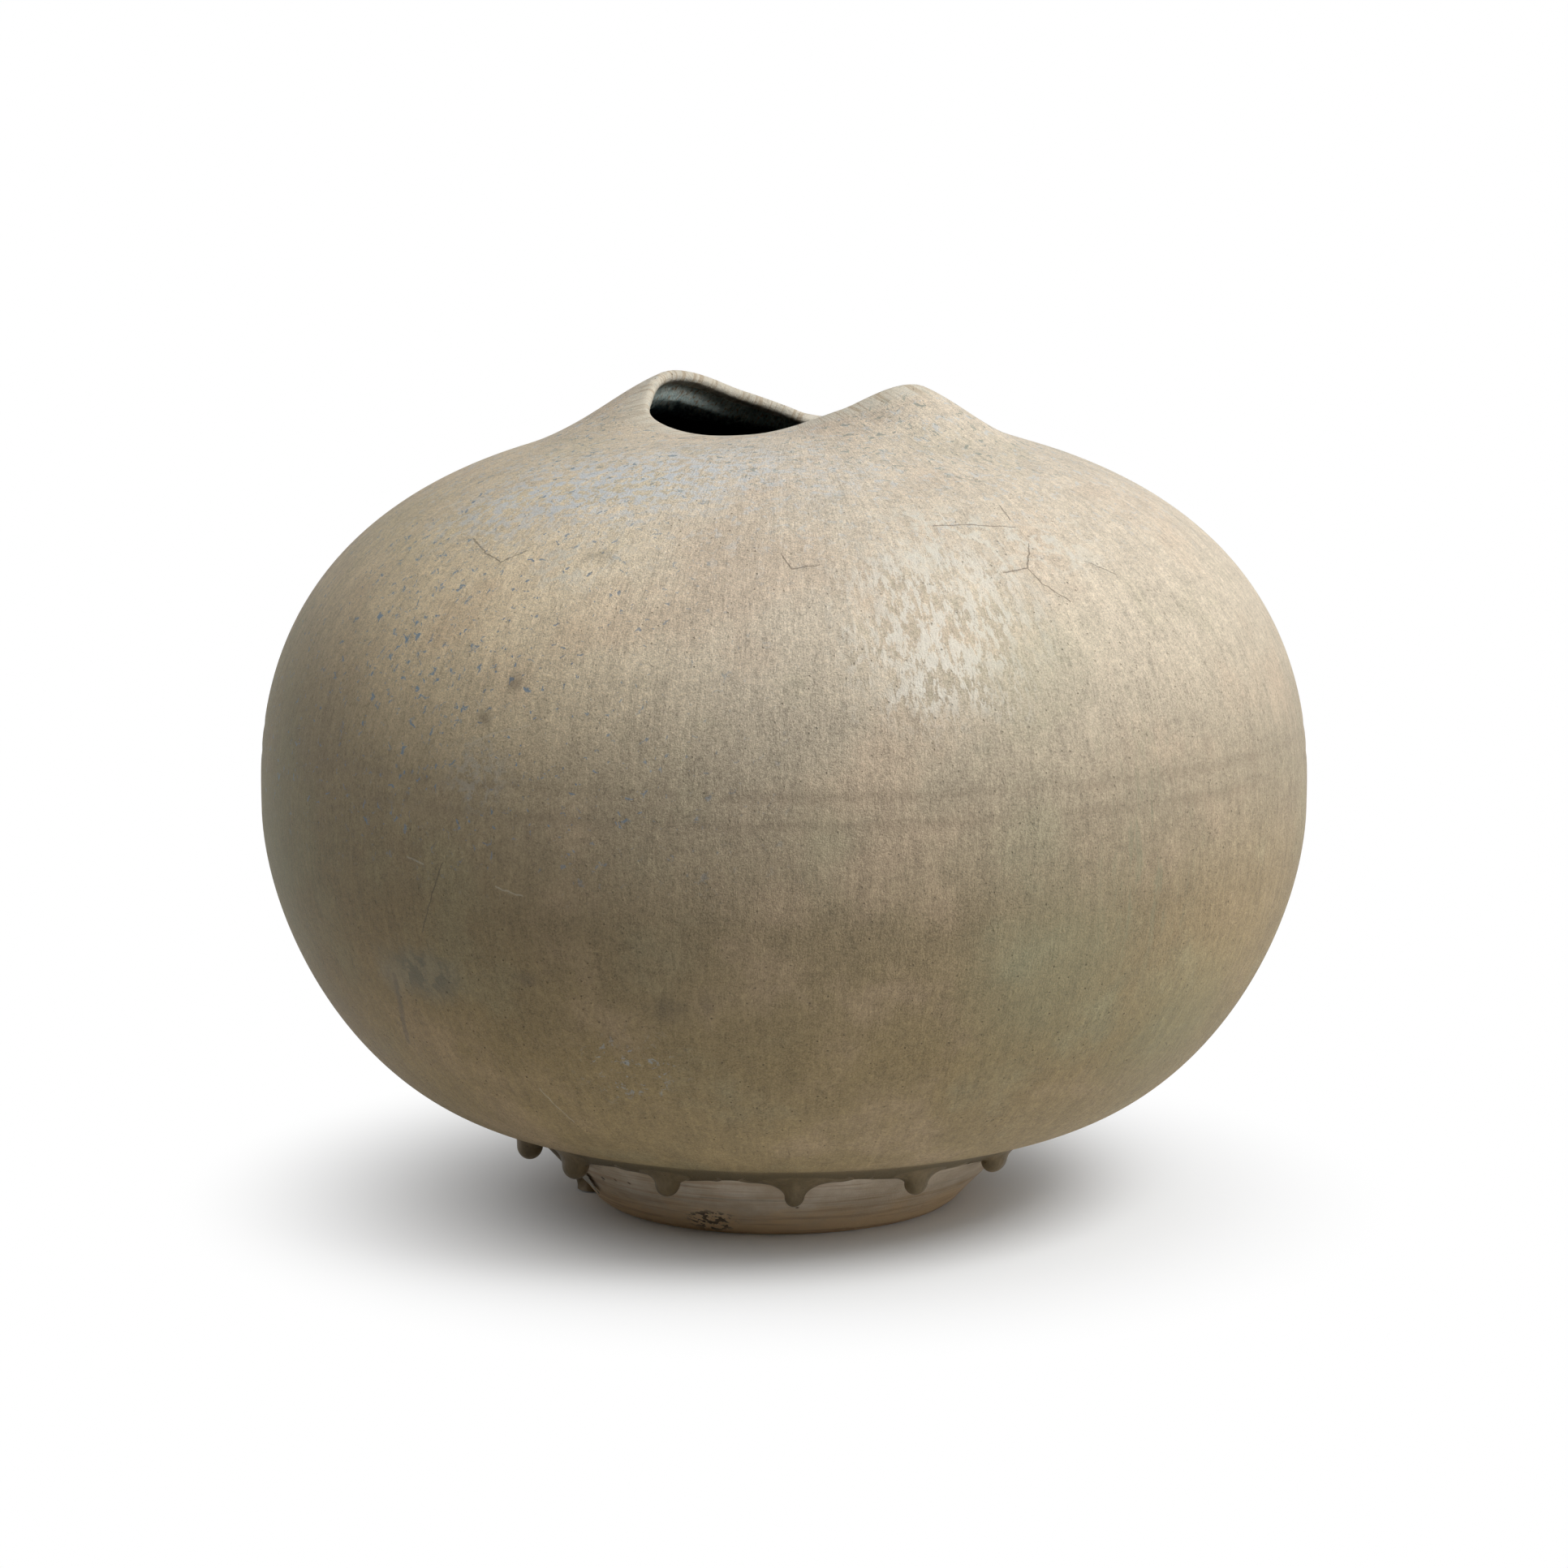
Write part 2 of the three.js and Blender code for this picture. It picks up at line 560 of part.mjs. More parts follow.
// A run hangs from the roll down to its tip. It is a round bead as wide as its tip, turned about
// its own line and then widened towards its root and, where it pooled, towards its ground-off end.
function glazeRun({ bearing, width, rootWidth, tipReach, rootReach, tipHeight, poolWidth = 0 }) {
  const radius = width / 2;
  const root = new THREE.Vector2(rootReach + RUN_ROOT_SINK, UNDERSIDE_HEIGHT + RUN_ROOT_SINK);
  const length = root.y - tipHeight;
  const tipAngles = steps(0, Math.PI / 2, TIP_STEPS).slice(1, -1);
  const tip = poolWidth ? [new THREE.Vector2(radius, 0)] : tipAngles.map((angle) => (
    new THREE.Vector2(radius * Math.sin(angle), radius * (1 - Math.cos(angle)))
  ));
  const shaft = steps(poolWidth ? 0 : radius, length, RUN_ROWS).slice(poolWidth ? 1 : 0);
  const bead = new THREE.LatheGeometry([
    new THREE.Vector2(0, 0),
    ...tip,
    ...shaft.map((height) => new THREE.Vector2(radius, height)),
    new THREE.Vector2(0, length),
  ], RUN_SIDES);
  bead.rotateX(Math.PI / 2);
  const place = bead.attributes.position;
  for (let k = 0; k < place.count; k += 1) {
    const rise = place.getZ(k) / length;
    const pooling = poolWidth ? Math.max(0, 1 - place.getZ(k) / LONG_RUN_POOL_HEIGHT) ** 2 : 0;
    const pool = 1 + (poolWidth / width - 1) * pooling;
    const flare = 1 + (rootWidth / width - 1) * rise ** 2;
    const axisReach = THREE.MathUtils.lerp(tipReach, root.x, rise);
    const outward = axisReach - place.getY(k) * pool;
    const height = tipHeight + place.getZ(k);
    place.setXYZ(k, place.getX(k) * flare * pool, -outward, height);
  }
  bead.rotateZ(radians(bearing));
  for (let k = 0; k < place.count; k += 1) place.setX(k, place.getX(k) - leanAt(place.getZ(k)));
  return toGeometry(toSolid(bead).subtract(runClearance));
}

// Label: a thin sheet bent round the flank, its front edge lifted off
function paperLabel() {
  const sheet = new THREE.BoxGeometry(
    LABEL_WIDTH, LABEL_LENGTH, LABEL_THICKNESS, LABEL_COLUMNS, LABEL_ROWS, 1,
  );
  const place = sheet.attributes.position;
  const lowShare = flankShareAt(LABEL_LOW_HEIGHT);
  const flankLength = flankCurve.getLength();
  for (let k = 0; k < place.count; k += 1) {
    const across = place.getX(k) / LABEL_WIDTH + 0.5;
    const share = lowShare + (place.getY(k) + LABEL_LENGTH / 2) / flankLength;
    const lift = CLEARANCE + LABEL_CURL * across ** 3;
    const p = offFlank(share, lift + LABEL_THICKNESS / 2 + place.getZ(k));
    const bearing = radians(LABEL_BEARING - 90) + (across - 0.5) * (LABEL_WIDTH / FOOT_WAIST_RADIUS);
    const bent = around(bearing, p.x, p.y);
    place.setXYZ(k, bent.x, bent.y, bent.z);
  }
  return sheet;
}

const bareClay = { color: 0xa08468, roughness: 0.85, metalness: 0 };
const slipClay = { color: 0x8d7358, roughness: 0.9, metalness: 0 };
const mattGlaze = { color: 0xa69176, roughness: 0.6, metalness: 0 };
const glossGlaze = { color: 0x5d6f6c, roughness: 0.15, metalness: 0 };
const runGlaze = { color: 0x6a5a42, roughness: 0.35, metalness: 0 };
const labelPaper = { color: 0xd9d6cc, roughness: 0.8, metalness: 0 };

const pot = new THREE.Group();

function addPiece(name, geometry, finish) {
  const piece = new THREE.Mesh(geometry, new THREE.MeshStandardMaterial(finish));
  piece.name = name;
  pot.add(piece);
}

addPiece('foot_ring', footRing(), bareClay);
addPiece('foot_slip', footSlip(), slipClay);
addPiece('lower_bowl', lowerBowl(), bareClay);
addPiece('belly_joint_coil', bellyCoil(), slipClay);
addPiece('upper_bowl', upperBowl(), bareClay);
addPiece('collar_slip', collarSlip(), slipClay);
addPiece('mouth_collar', mouthCollar(), bareClay);
addPiece('outer_glaze', outerGlaze(), mattGlaze);
addPiece('inner_glaze', innerGlaze(), glossGlaze);
GLAZE_RUNS.forEach(({ name, inset, ...run }) => {
  const hangingReach = FOOT_FLARE_RADIUS - inset;
  addPiece(name, glazeRun({ ...run, tipReach: hangingReach, rootReach: hangingReach }), runGlaze);
});
addPiece('glaze_run_long', glazeRun({
  bearing: LONG_RUN_BEARING,
  width: LONG_RUN_WIDTH,
  rootWidth: LONG_RUN_ROOT_WIDTH,
  tipReach: FOOT_BASE_RADIUS + LONG_RUN_STAND_OFF,
  rootReach: FOOT_FLARE_RADIUS,
  tipHeight: LONG_RUN_GROUND_GAP,
  poolWidth: LONG_RUN_POOL_WIDTH,
}), runGlaze);
addPiece('paper_label', paperLabel(), labelPaper);

export default pot;
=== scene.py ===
import bmesh
import bpy
import numpy as np
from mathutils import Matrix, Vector


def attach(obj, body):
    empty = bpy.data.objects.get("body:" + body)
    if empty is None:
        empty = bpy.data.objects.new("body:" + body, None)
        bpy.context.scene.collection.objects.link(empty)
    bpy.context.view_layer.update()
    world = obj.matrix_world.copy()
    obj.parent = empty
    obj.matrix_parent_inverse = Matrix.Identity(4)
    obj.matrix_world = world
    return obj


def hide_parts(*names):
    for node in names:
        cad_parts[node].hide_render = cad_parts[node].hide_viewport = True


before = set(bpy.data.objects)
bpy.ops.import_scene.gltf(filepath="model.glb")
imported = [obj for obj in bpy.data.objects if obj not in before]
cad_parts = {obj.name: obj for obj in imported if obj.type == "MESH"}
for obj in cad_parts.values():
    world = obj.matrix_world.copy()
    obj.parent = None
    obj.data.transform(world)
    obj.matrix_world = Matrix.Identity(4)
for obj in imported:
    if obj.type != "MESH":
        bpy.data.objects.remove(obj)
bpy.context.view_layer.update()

# Camera, studio light and floor
# The camera stands where the photograph was taken from, a little over the pot, with a 100 mm lens.
# Four soft lamps light it, the strongest from high at the right front. The pot stands on a plain
# pale floor that fades into a white background.

CAMERA_PLACE = (0, -1.6571, 0.4256)
CAMERA_DIP = 0.1588
camera = bpy.data.objects.new("camera", bpy.data.cameras.new("camera"))
camera.location = CAMERA_PLACE
camera.rotation_euler = (np.pi / 2 - CAMERA_DIP, 0, 0)
camera.data.lens = 100
camera.data.sensor_width = 36
bpy.context.collection.objects.link(camera)
bpy.context.scene.camera = camera
bpy.context.scene.view_settings.view_transform = "Standard"


LAMP_AIM = Vector((0, 0, 0.15))
LAMP_SIDE = 1


def soft_lamp(name, place, power):
    """Square area lamp, turned so that its -Z axis points at the middle of the pot."""
    lamp = bpy.data.objects.new(name, bpy.data.lights.new(name, "AREA"))
    lamp.data.shape = "SQUARE"
    lamp.data.size = LAMP_SIDE
    lamp.data.energy = power
    lamp.location = place
    lamp.rotation_euler = (LAMP_AIM - Vector(place)).to_track_quat("-Z", "Y").to_euler()
    bpy.context.collection.objects.link(lamp)


soft_lamp("key_lamp", (1.2, -1.1, 1.9), 44)
soft_lamp("right_top_lamp", (1.7, -0.2, 1.8), 9)
soft_lamp("right_lamp", (2.1, -0.5, 0.9), 9)
soft_lamp("left_lamp", (-1.7, 0.4, 1.3), 7)


def shade(tree, kind, inputs=(), **settings):
    """Add one shader node; inputs gives its sockets a value or a link, by number or name."""
    made = tree.nodes.new("ShaderNode" + kind)
    for name, value in settings.items():
        setattr(made, name, value)
    for socket, value in dict(inputs).items():
        if isinstance(value, bpy.types.NodeSocket):
            tree.links.new(value, made.inputs[socket])
        else:
            made.inputs[socket].default_value = value
    return made


def reckon(tree, operation, *values):
    """One sum on numbers: add, subtract, multiply and so on."""
    return shade(tree, "Math", dict(enumerate(values)), operation=operation).outputs[0]


def vector_sum(tree, operation, *values):
    """One sum on vectors. A length or a dot product comes out as a number."""
    made = shade(tree, "VectorMath", dict(enumerate(values)), operation=operation)
    return made.outputs[1 if operation in ("LENGTH", "DOT_PRODUCT") else 0]


def eased(tree, value, low, high):
    """0 below low, 1 above high, and a smooth S-shaped step between them."""
    return shade(tree, "MapRange", {0: value, 1: low, 2: high},
                 interpolation_type="SMOOTHSTEP").outputs[0]


def white_seen(tree):
    """1 for rays from the camera and for reflected and refracted rays, 0 for light on the pot."""
    path = shade(tree, "LightPath")
    seen = reckon(tree, "MAXIMUM", path.outputs["Is Camera Ray"], path.outputs["Is Glossy Ray"])
    return reckon(tree, "MAXIMUM", seen, path.outputs["Is Transmission Ray"])


WORLD_FILL = 0.01
world = bpy.data.worlds.new("studio")
bpy.context.scene.world = world
world.use_nodes = True
tree = world.node_tree
tree.nodes.clear()
fill = shade(tree, "Background", {"Color": (1, 1, 1, 1), "Strength": WORLD_FILL})
white = shade(tree, "Background", {"Color": (1, 1, 1, 1), "Strength": 1})
both = shade(tree, "MixShader", {0: white_seen(tree), 1: fill.outputs[0], 2: white.outputs[0]})
shade(tree, "OutputWorld", {0: both.outputs[0]})

FLOOR_HALF = 3
# Distances from the pot's axis, in metres, between which the floor fades to white
FLOOR_FADE = (0.06, 0.24)
floor_mesh = bpy.data.meshes.new("studio_floor")
floor_mesh.from_pydata([(-FLOOR_HALF, -FLOOR_HALF, 0), (FLOOR_HALF, -FLOOR_HALF, 0),
                        (FLOOR_HALF, FLOOR_HALF, 0), (-FLOOR_HALF, FLOOR_HALF, 0)], [],
                       [(0, 1, 2, 3)])
floor = bpy.data.objects.new("studio_floor", floor_mesh)
bpy.context.collection.objects.link(floor)
floor_paint = bpy.data.materials.new("studio_floor")
floor_paint.use_nodes = True
tree = floor_paint.node_tree
tree.nodes.clear()
where = shade(tree, "TexCoord").outputs["Object"]
away = vector_sum(tree, "LENGTH", where)
matt_floor = shade(tree, "BsdfDiffuse", {"Color": (0.785, 0.8, 0.815, 1)})
white_floor = shade(tree, "Emission", {"Color": (1, 1, 1, 1), "Strength": 1})
faded = reckon(tree, "MULTIPLY", eased(tree, away, *FLOOR_FADE), white_seen(tree))
both = shade(tree, "MixShader", {0: faded, 1: matt_floor.outputs[0], 2: white_floor.outputs[0]})
shade(tree, "OutputMaterial", {0: both.outputs[0]})
floor_mesh.materials.append(floor_paint)

# Foot ring
# A thrown ring of bare buff stoneware, flared from a small base to the underside of the bowl and
# set slightly askew. Its resting face is wiped flat, its flank keeps the marks of turning, and
# iron in the clay has fired out in brown spots.

MM = 0.001
ROUND = 2 * np.pi
FOOT_BASE_RADIUS = 70
FOOT_BORE_RADIUS = 55
FOOT_WAIST_RADIUS = 84.3
FOOT_WAIST_HEIGHT = 17.5
FOOT_FLARE_RADIUS = 101.6
FOOT_RING_HEIGHT = 32.6
FOOT_LEAN = 2.8
FOOT_EDGE_ROUNDING = 1.2
FOOT_COLUMNS = 240
FLANK_ROWS = 40
FLANK_START_SHARE = 0.045
BORE_ROWS = 16
CORNER_ROWS = 7
SHARP_ANGLE = np.radians(40)


def bezier(points, s):
    """Bézier curve: the points are drawn together pair by pair by the share s until one is
    left."""
    left = [np.asarray(p, float) + np.zeros(np.shape(s) + (1,)) for p in points]
    share = np.asarray(s, float)[..., None]
    while len(left) > 1:
        left = [a + (b - a) * share for a, b in zip(left, left[1:])]
    return left[0]


def around(turn, r, z):
    """Point at radius r and height z, turned about the axis; the foot leans to the left."""
    lean = FOOT_LEAN * np.clip(1 - z / FOOT_RING_HEIGHT, 0, None)
    return np.stack(np.broadcast_arrays(r * np.cos(turn) - lean, r * np.sin(turn), z), axis=-1)


def flank_line(share):
    """Radius and height on the flank of the foot, from its base up to the flare."""
    return bezier([(FOOT_BASE_RADIUS, 0), (FOOT_WAIST_RADIUS, FOOT_WAIST_HEIGHT),
                   (FOOT_FLARE_RADIUS, FOOT_RING_HEIGHT)], share)


def off_flank(share, distance):
    """Point that stands off the flank by a distance square to it, on its outer side."""
    ahead = flank_line(share + 1e-4) - flank_line(share - 1e-4)
    ahead /= np.linalg.norm(ahead, axis=-1, keepdims=True)
    square = np.stack([ahead[..., 1], -ahead[..., 0]], axis=-1)
    return flank_line(share) + square * np.asarray(distance)[..., None]


def closed_skin(name, points, paint, node_names, flow=None, lip=None):
    """Closed piece from a grid of points in millimetres that wraps round both ways: every four
    neighbours make one face. Rows that meet in a pole are merged. The mesh keeps the flow, a
    vector for each point, and the distance to the lip."""
    columns, rows = points.shape[:2]
    c, k = np.meshgrid(np.arange(columns), np.arange(rows), indexing="ij")
    on, above = (c + 1) % columns, (k + 1) % rows
    faces = np.stack([c * rows + k, on * rows + k, on * rows + above, c * rows + above], -1)
    mesh = bpy.data.meshes.new(name)
    mesh.from_pydata(points.reshape(-1, 3) * MM, [], faces.reshape(-1, 4))
    if flow is not None:
        kept = mesh.attributes.new("flow", "FLOAT_VECTOR", "POINT")
        kept.data.foreach_set("vector", np.ascontiguousarray(flow, np.float32).ravel())
    if lip is not None:
        kept = mesh.attributes.new("lip", "FLOAT", "POINT")
        kept.data.foreach_set("value", np.ascontiguousarray(lip, np.float32).ravel())
    built = bmesh.new()
    built.from_mesh(mesh)
    bmesh.ops.remove_doubles(built, verts=built.verts, dist=1e-6)
    built.to_mesh(mesh)
    built.free()
    mesh.shade_smooth()
    mesh.set_sharp_from_angle(angle=SHARP_ANGLE)
    piece = bpy.data.objects.new(name, mesh)
    bpy.context.collection.objects.link(piece)
    mesh.materials.append(paint)
    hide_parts(*node_names)
    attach(piece, "root")


def new_paint(name, roughness, shine=0.5):
    """New material of an even roughness and shine, with its nodes, its Principled shader and the
    place on the piece, which its patterns read."""
    paint = bpy.data.materials.new(name)
    paint.use_nodes = True
    tree = paint.node_tree
    tree.nodes.clear()
    gloss = shade(tree, "BsdfPrincipled", {"Roughness": roughness, "Specular IOR Level": shine})
    shade(tree, "OutputMaterial", {0: gloss.outputs[0]})
    return paint, tree, gloss, shade(tree, "TexCoord").outputs["Object"]


def tinted(tree, share, under, over, blend="MIX"):
    """Colour under with the colour over laid on it by a share from 0 to 1."""
    return shade(tree, "Mix", {0: share, 6: under, 7: over}, data_type="RGBA",
                 blend_type=blend).outputs[2]


def grain(tree, where, scale, detail=4, roughness=0.6, stretch=(1, 1, 1), distortion=0):
    """Cloudy noise from 0 to 1, scale cells to the metre, drawn out by the stretch."""
    drawn = shade(tree, "Mapping", {0: where, 3: stretch}).outputs[0]
    return shade(tree, "TexNoise", {"Vector": drawn, "Scale": scale, "Detail": detail,
                                    "Roughness": roughness, "Distortion": distortion}).outputs[0]


def rough_up(tree, gloss, height, distance):
    """Relief on the surface, of a height from 0 to 1 times the distance in metres."""
    relief = shade(tree, "Bump", {"Height": height, "Distance": distance, "Strength": 1})
    tree.links.new(relief.outputs[0], gloss.inputs["Normal"])


def egg(tree, where, centre, radii):
    """Distance from a centre as a share of the radius in its own direction: 1 is the surface of
    an egg with the three radii."""
    moved = vector_sum(tree, "SUBTRACT", where, centre)
    return vector_sum(tree, "LENGTH", vector_sum(tree, "DIVIDE", moved, radii))


def turned_rings(tree, where, scale):
    """Fine level lines that a turning tool leaves: noise that changes with height and hardly
    with anything else."""
    return grain(tree, where, scale, 3, 0.65, (0.03, 0.03, 1))


def bare_clay(name, light, dark, ring_height):
    """Dry fired clay: a mottle of two tones, level turning lines, sandy grain and iron spots."""
    paint, tree, gloss, where = new_paint(name, 0.85)
    mottle = eased(tree, grain(tree, where, 60, 6, 0.7), 0.3, 0.75)
    rings = turned_rings(tree, where, 900)
    colour = tinted(tree, mottle, dark, light)
    colour = tinted(tree, reckon(tree, "MULTIPLY", eased(tree, rings, 0.5, 0.8), 0.35),
                    colour, (0.09, 0.055, 0.03, 1))
    # Of the cells that the spots are drawn in, about a quarter hold one, each of its own size
    spots = shade(tree, "TexVoronoi", {"Vector": where, "Scale": 190, "Randomness": 1})
    chosen = shade(tree, "SeparateColor", {0: spots.outputs["Color"]}).outputs[0]
    size = reckon(tree, "MULTIPLY", reckon(tree, "SUBTRACT", chosen, 0.72), 0.9)
    spot = eased(tree, reckon(tree, "SUBTRACT", size, spots.outputs["Distance"]), 0, 0.12)
    colour = tinted(tree, reckon(tree, "MULTIPLY", spot, 0.8), colour, (0.075, 0.035, 0.015, 1))
    tree.links.new(colour, gloss.inputs["Base Color"])
    sand = grain(tree, where, 1500, 3, 0.7)
    relief = reckon(tree, "ADD", reckon(tree, "MULTIPLY", rings, ring_height),
                    reckon(tree, "MULTIPLY", sand, 0.35))
    rough_up(tree, gloss, relief, 0.0006)
    return paint, tree, gloss, where, colour


foot_clay, tree, gloss, where, colour = bare_clay("foot_clay", (0.95, 0.83, 0.68, 1),
                                                  (0.72, 0.58, 0.42, 1), 1)
right, _, high = shade(tree, "SeparateXYZ", {0: where}).outputs
# Toasted orange low down, partly the clay's own tone and partly painted light from the floor;
# brown lines from turning; painted shade that makes the right side darker and greyer
wavy = grain(tree, where, 55, 4, 0.6, (1, 1, 2))
toasted_and_lit_low = reckon(tree, "ADD", high, reckon(tree, "MULTIPLY_ADD", wavy, 0.02, -0.01))
colour = tinted(tree, reckon(tree, "MULTIPLY", eased(tree, toasted_and_lit_low, 0.016, 0.003), 0.95), colour,
                (1, 0.74, 0.46, 1))
lines = eased(tree, turned_rings(tree, where, 420), 0.5, 0.6)
colour = tinted(tree, reckon(tree, "MULTIPLY", lines, 0.45), colour, (0.55, 0.36, 0.2, 1))
colour = tinted(tree, eased(tree, right, -0.03, 0.08), colour, (0.62, 0.6, 0.56, 1), "MULTIPLY")
# A cluster of burst iron spots, low at the front
CLUSTER_PLACE = (-0.027, -0.07, 0.006)
CLUSTER_RADII = (0.011, 0.02, 0.006)
inside = eased(tree, egg(tree, where, CLUSTER_PLACE, CLUSTER_RADII), 1.1, 0.5)
iron = reckon(tree, "MULTIPLY", inside,
              eased(tree, grain(tree, where, 480, 3, 0.6, (0.6, 1, 1)), 0.52, 0.57))
colour = tinted(tree, reckon(tree, "MULTIPLY", iron, 0.85), colour, (0.05, 0.03, 0.02, 1))
tree.links.new(colour, gloss.inputs["Base Color"])
corner = np.linspace(0, np.pi / 2, CORNER_ROWS)
base_corner = np.stack([
    FOOT_BASE_RADIUS - FOOT_EDGE_ROUNDING * (1 - np.sin(corner)),
    FOOT_EDGE_ROUNDING * (1 - np.cos(corner)),
], axis=-1)
flank = flank_line(np.linspace(FLANK_START_SHARE, 1, FLANK_ROWS))
bore = np.stack([np.full(BORE_ROWS, FOOT_BORE_RADIUS),
                 np.linspace(FOOT_RING_HEIGHT, 0, BORE_ROWS)], axis=-1)
foot_line = np.concatenate([base_corner, flank, bore])
foot_turn = np.linspace(0, ROUND, FOOT_COLUMNS, endpoint=False)[:, None]
closed_skin("thrown_foot", around(foot_turn, foot_line[:, 0], foot_line[:, 1]), foot_clay,
            ["foot_ring"])

# Luting slip on the foot
# A thin layer of liquid clay that the potter brushed between the foot and the bowl to join them.
# It fires to the same body, a little darker where it squeezed out.

SLIP_THICKNESS = 0.8
SLIP_INSET = 1
BOWL_HEIGHT = FOOT_RING_HEIGHT + SLIP_THICKNESS
UNDERSIDE_START_RADIUS = 97.6
slip_clay = bare_clay("slip_clay", (0.27, 0.19, 0.12, 1), (0.17, 0.115, 0.07, 1), 0.5)[0]
slip_radii = np.array([FOOT_BORE_RADIUS + SLIP_INSET, UNDERSIDE_START_RADIUS - SLIP_INSET])
closed_skin("foot_luting_slip", np.concatenate([
    around(foot_turn, slip_radii, FOOT_RING_HEIGHT),
    around(foot_turn, slip_radii[::-1], BOWL_HEIGHT),
], axis=1), slip_clay, ["foot_slip"])

# Lower bowl
# The lower half of the body, a bowl thrown on the wheel in bare stoneware, with a thick floor.
# Its underside shows inside the foot ring, and the rest lies between the two coats of glaze.

BELLY_RADIUS = 200
BELLY_HEIGHT = 156
SHOULDER_RADIUS = 100
SHOULDER_HEIGHT = 290
SHOULDER_SLOPE = np.radians(17)
SHOULDER_STRAIGHT_LENGTH = 110
UNDERSIDE_LEVEL_LENGTH = 62
UPRIGHT_LENGTH_BELOW = 49
UPRIGHT_LENGTH_ABOVE = 20
LOWER_LINE = [(UNDERSIDE_START_RADIUS, BOWL_HEIGHT),
              (UNDERSIDE_START_RADIUS + UNDERSIDE_LEVEL_LENGTH, BOWL_HEIGHT),
              (BELLY_RADIUS, BELLY_HEIGHT - UPRIGHT_LENGTH_BELOW), (BELLY_RADIUS, BELLY_HEIGHT)]
UPPER_LINE = [(BELLY_RADIUS, BELLY_HEIGHT), (BELLY_RADIUS, BELLY_HEIGHT + UPRIGHT_LENGTH_ABOVE),
              (SHOULDER_RADIUS + SHOULDER_STRAIGHT_LENGTH * np.cos(SHOULDER_SLOPE),
               SHOULDER_HEIGHT - SHOULDER_STRAIGHT_LENGTH * np.sin(SHOULDER_SLOPE)),
              (SHOULDER_RADIUS, SHOULDER_HEIGHT)]
LIP_LIFT_SHARES = np.array([0.26, 0.01, 0, 0.3, 0.61, 1, 0.5, 0.05, 0.02, 0.175, 0.485, 0.915])
LIP_LIFT = 20.7
LIP_CENTRE = (2.6, -2.4, 296.8)
MOUTH_HALVES = (56, 31)
MOUTH_TWIST = np.radians(-7)
LIP_SLOPES = np.radians([1, 23])
WALL_THICKNESS = 9
FLOOR_THICKNESS = 13
LIP_THICKNESS = 4.6
COAT = 1
CLEARANCE = 0.3
CLAY_DEPTH = COAT + CLEARANCE
CLAY_COLUMNS = 144
BOWL_ROWS = 40
# Rises: 0 at the start of the underside, 1 at the belly, 2 at the shoulder and 3 at the lip
LOWEST_RISE = 0.03
THINNING_START_RISE = 1.6
SHOULDER_RISE = 2
LIP_RISE = 3
LINE_SAMPLES = 4001


def even_line(points):
    """The same Bézier curve, walked at an even pace: its own share is looked up by length."""
    share = np.linspace(0, 1, LINE_SAMPLES)
    walked = bezier(points, share)
    length = np.concatenate([[0], np.cumsum(np.linalg.norm(np.diff(walked, axis=0), axis=1))])
    return lambda s: bezier(points, np.interp(s, length / length[-1], share))


lower_line = even_line(LOWER_LINE)
upper_line = even_line(UPPER_LINE)


def leading(turn, outward, upward):
    """Direction that leads so far outwards and so far up."""
    return np.stack(np.broadcast_arrays(outward * np.cos(turn), outward * np.sin(turn), upward), -1)


def lift_share(turn):
    """Share of the lip's lift: a cubic through twelve even stations round the mouth."""
    place = turn / ROUND % 1 * 12
    first = np.floor(place).astype(int)
    u = place - first
    a, b, c, d = (LIP_LIFT_SHARES[(first + k) % 12] for k in (-1, 0, 1, 2))
    return b + 0.5 * u * (c - a + u * (2 * a - 5 * b + 4 * c - d + u * (3 * (b - c) + d - a)))


def lip_point(turn):
    """Lip: a squarish oval, the sum of the cubes of its two shares being one, lifted in peaks."""
    angle = turn - MOUTH_TWIST
    cubes = ((abs(np.cos(angle)) / MOUTH_HALVES[0]) ** 3
             + (abs(np.sin(angle)) / MOUTH_HALVES[1]) ** 3)
    return np.array(LIP_CENTRE) + leading(turn, cubes ** (-1 / 3), LIP_LIFT * lift_share(turn))


def collar_point(turn, s):
    """Collar: a Hermite curve at each angle, from the shoulder's slope to the lip's own slope."""
    turn, s = np.broadcast_arrays(turn, s)
    shoulder = around(turn, SHOULDER_RADIUS, SHOULDER_HEIGHT)
    lip = lip_point(turn)
    span = np.linalg.norm(shoulder - lip, axis=-1)
    slope = LIP_SLOPES[0] + (LIP_SLOPES[1] - LIP_SLOPES[0]) * lift_share(turn)
    start = leading(turn, -np.cos(SHOULDER_SLOPE), np.sin(SHOULDER_SLOPE))
    end = leading(turn, -np.cos(slope), np.sin(slope))
    near = (2 * s ** 3 - 3 * s ** 2 + 1)[..., None]
    return (shoulder * near + lip * (1 - near) + start * (span * s * (1 - s) ** 2)[..., None]
            - end * (span * s ** 2 * (1 - s))[..., None])


def body_point(turn, rise):
    """Glazed outside of the pot: turned from its meridian up to the shoulder, and drawn as the
    collar from there to the lip."""
    low = lower_line(np.clip(rise, 0, 1))
    high = upper_line(np.clip(rise - 1, 0, 1))
    side = np.where((rise <= 1)[..., None], low, high)
    turned = around(turn, side[..., 0], side[..., 1])
    collar = collar_point(turn, np.clip(rise - SHOULDER_RISE, 0, 1))
    return np.where((rise > SHOULDER_RISE)[..., None], collar, turned)


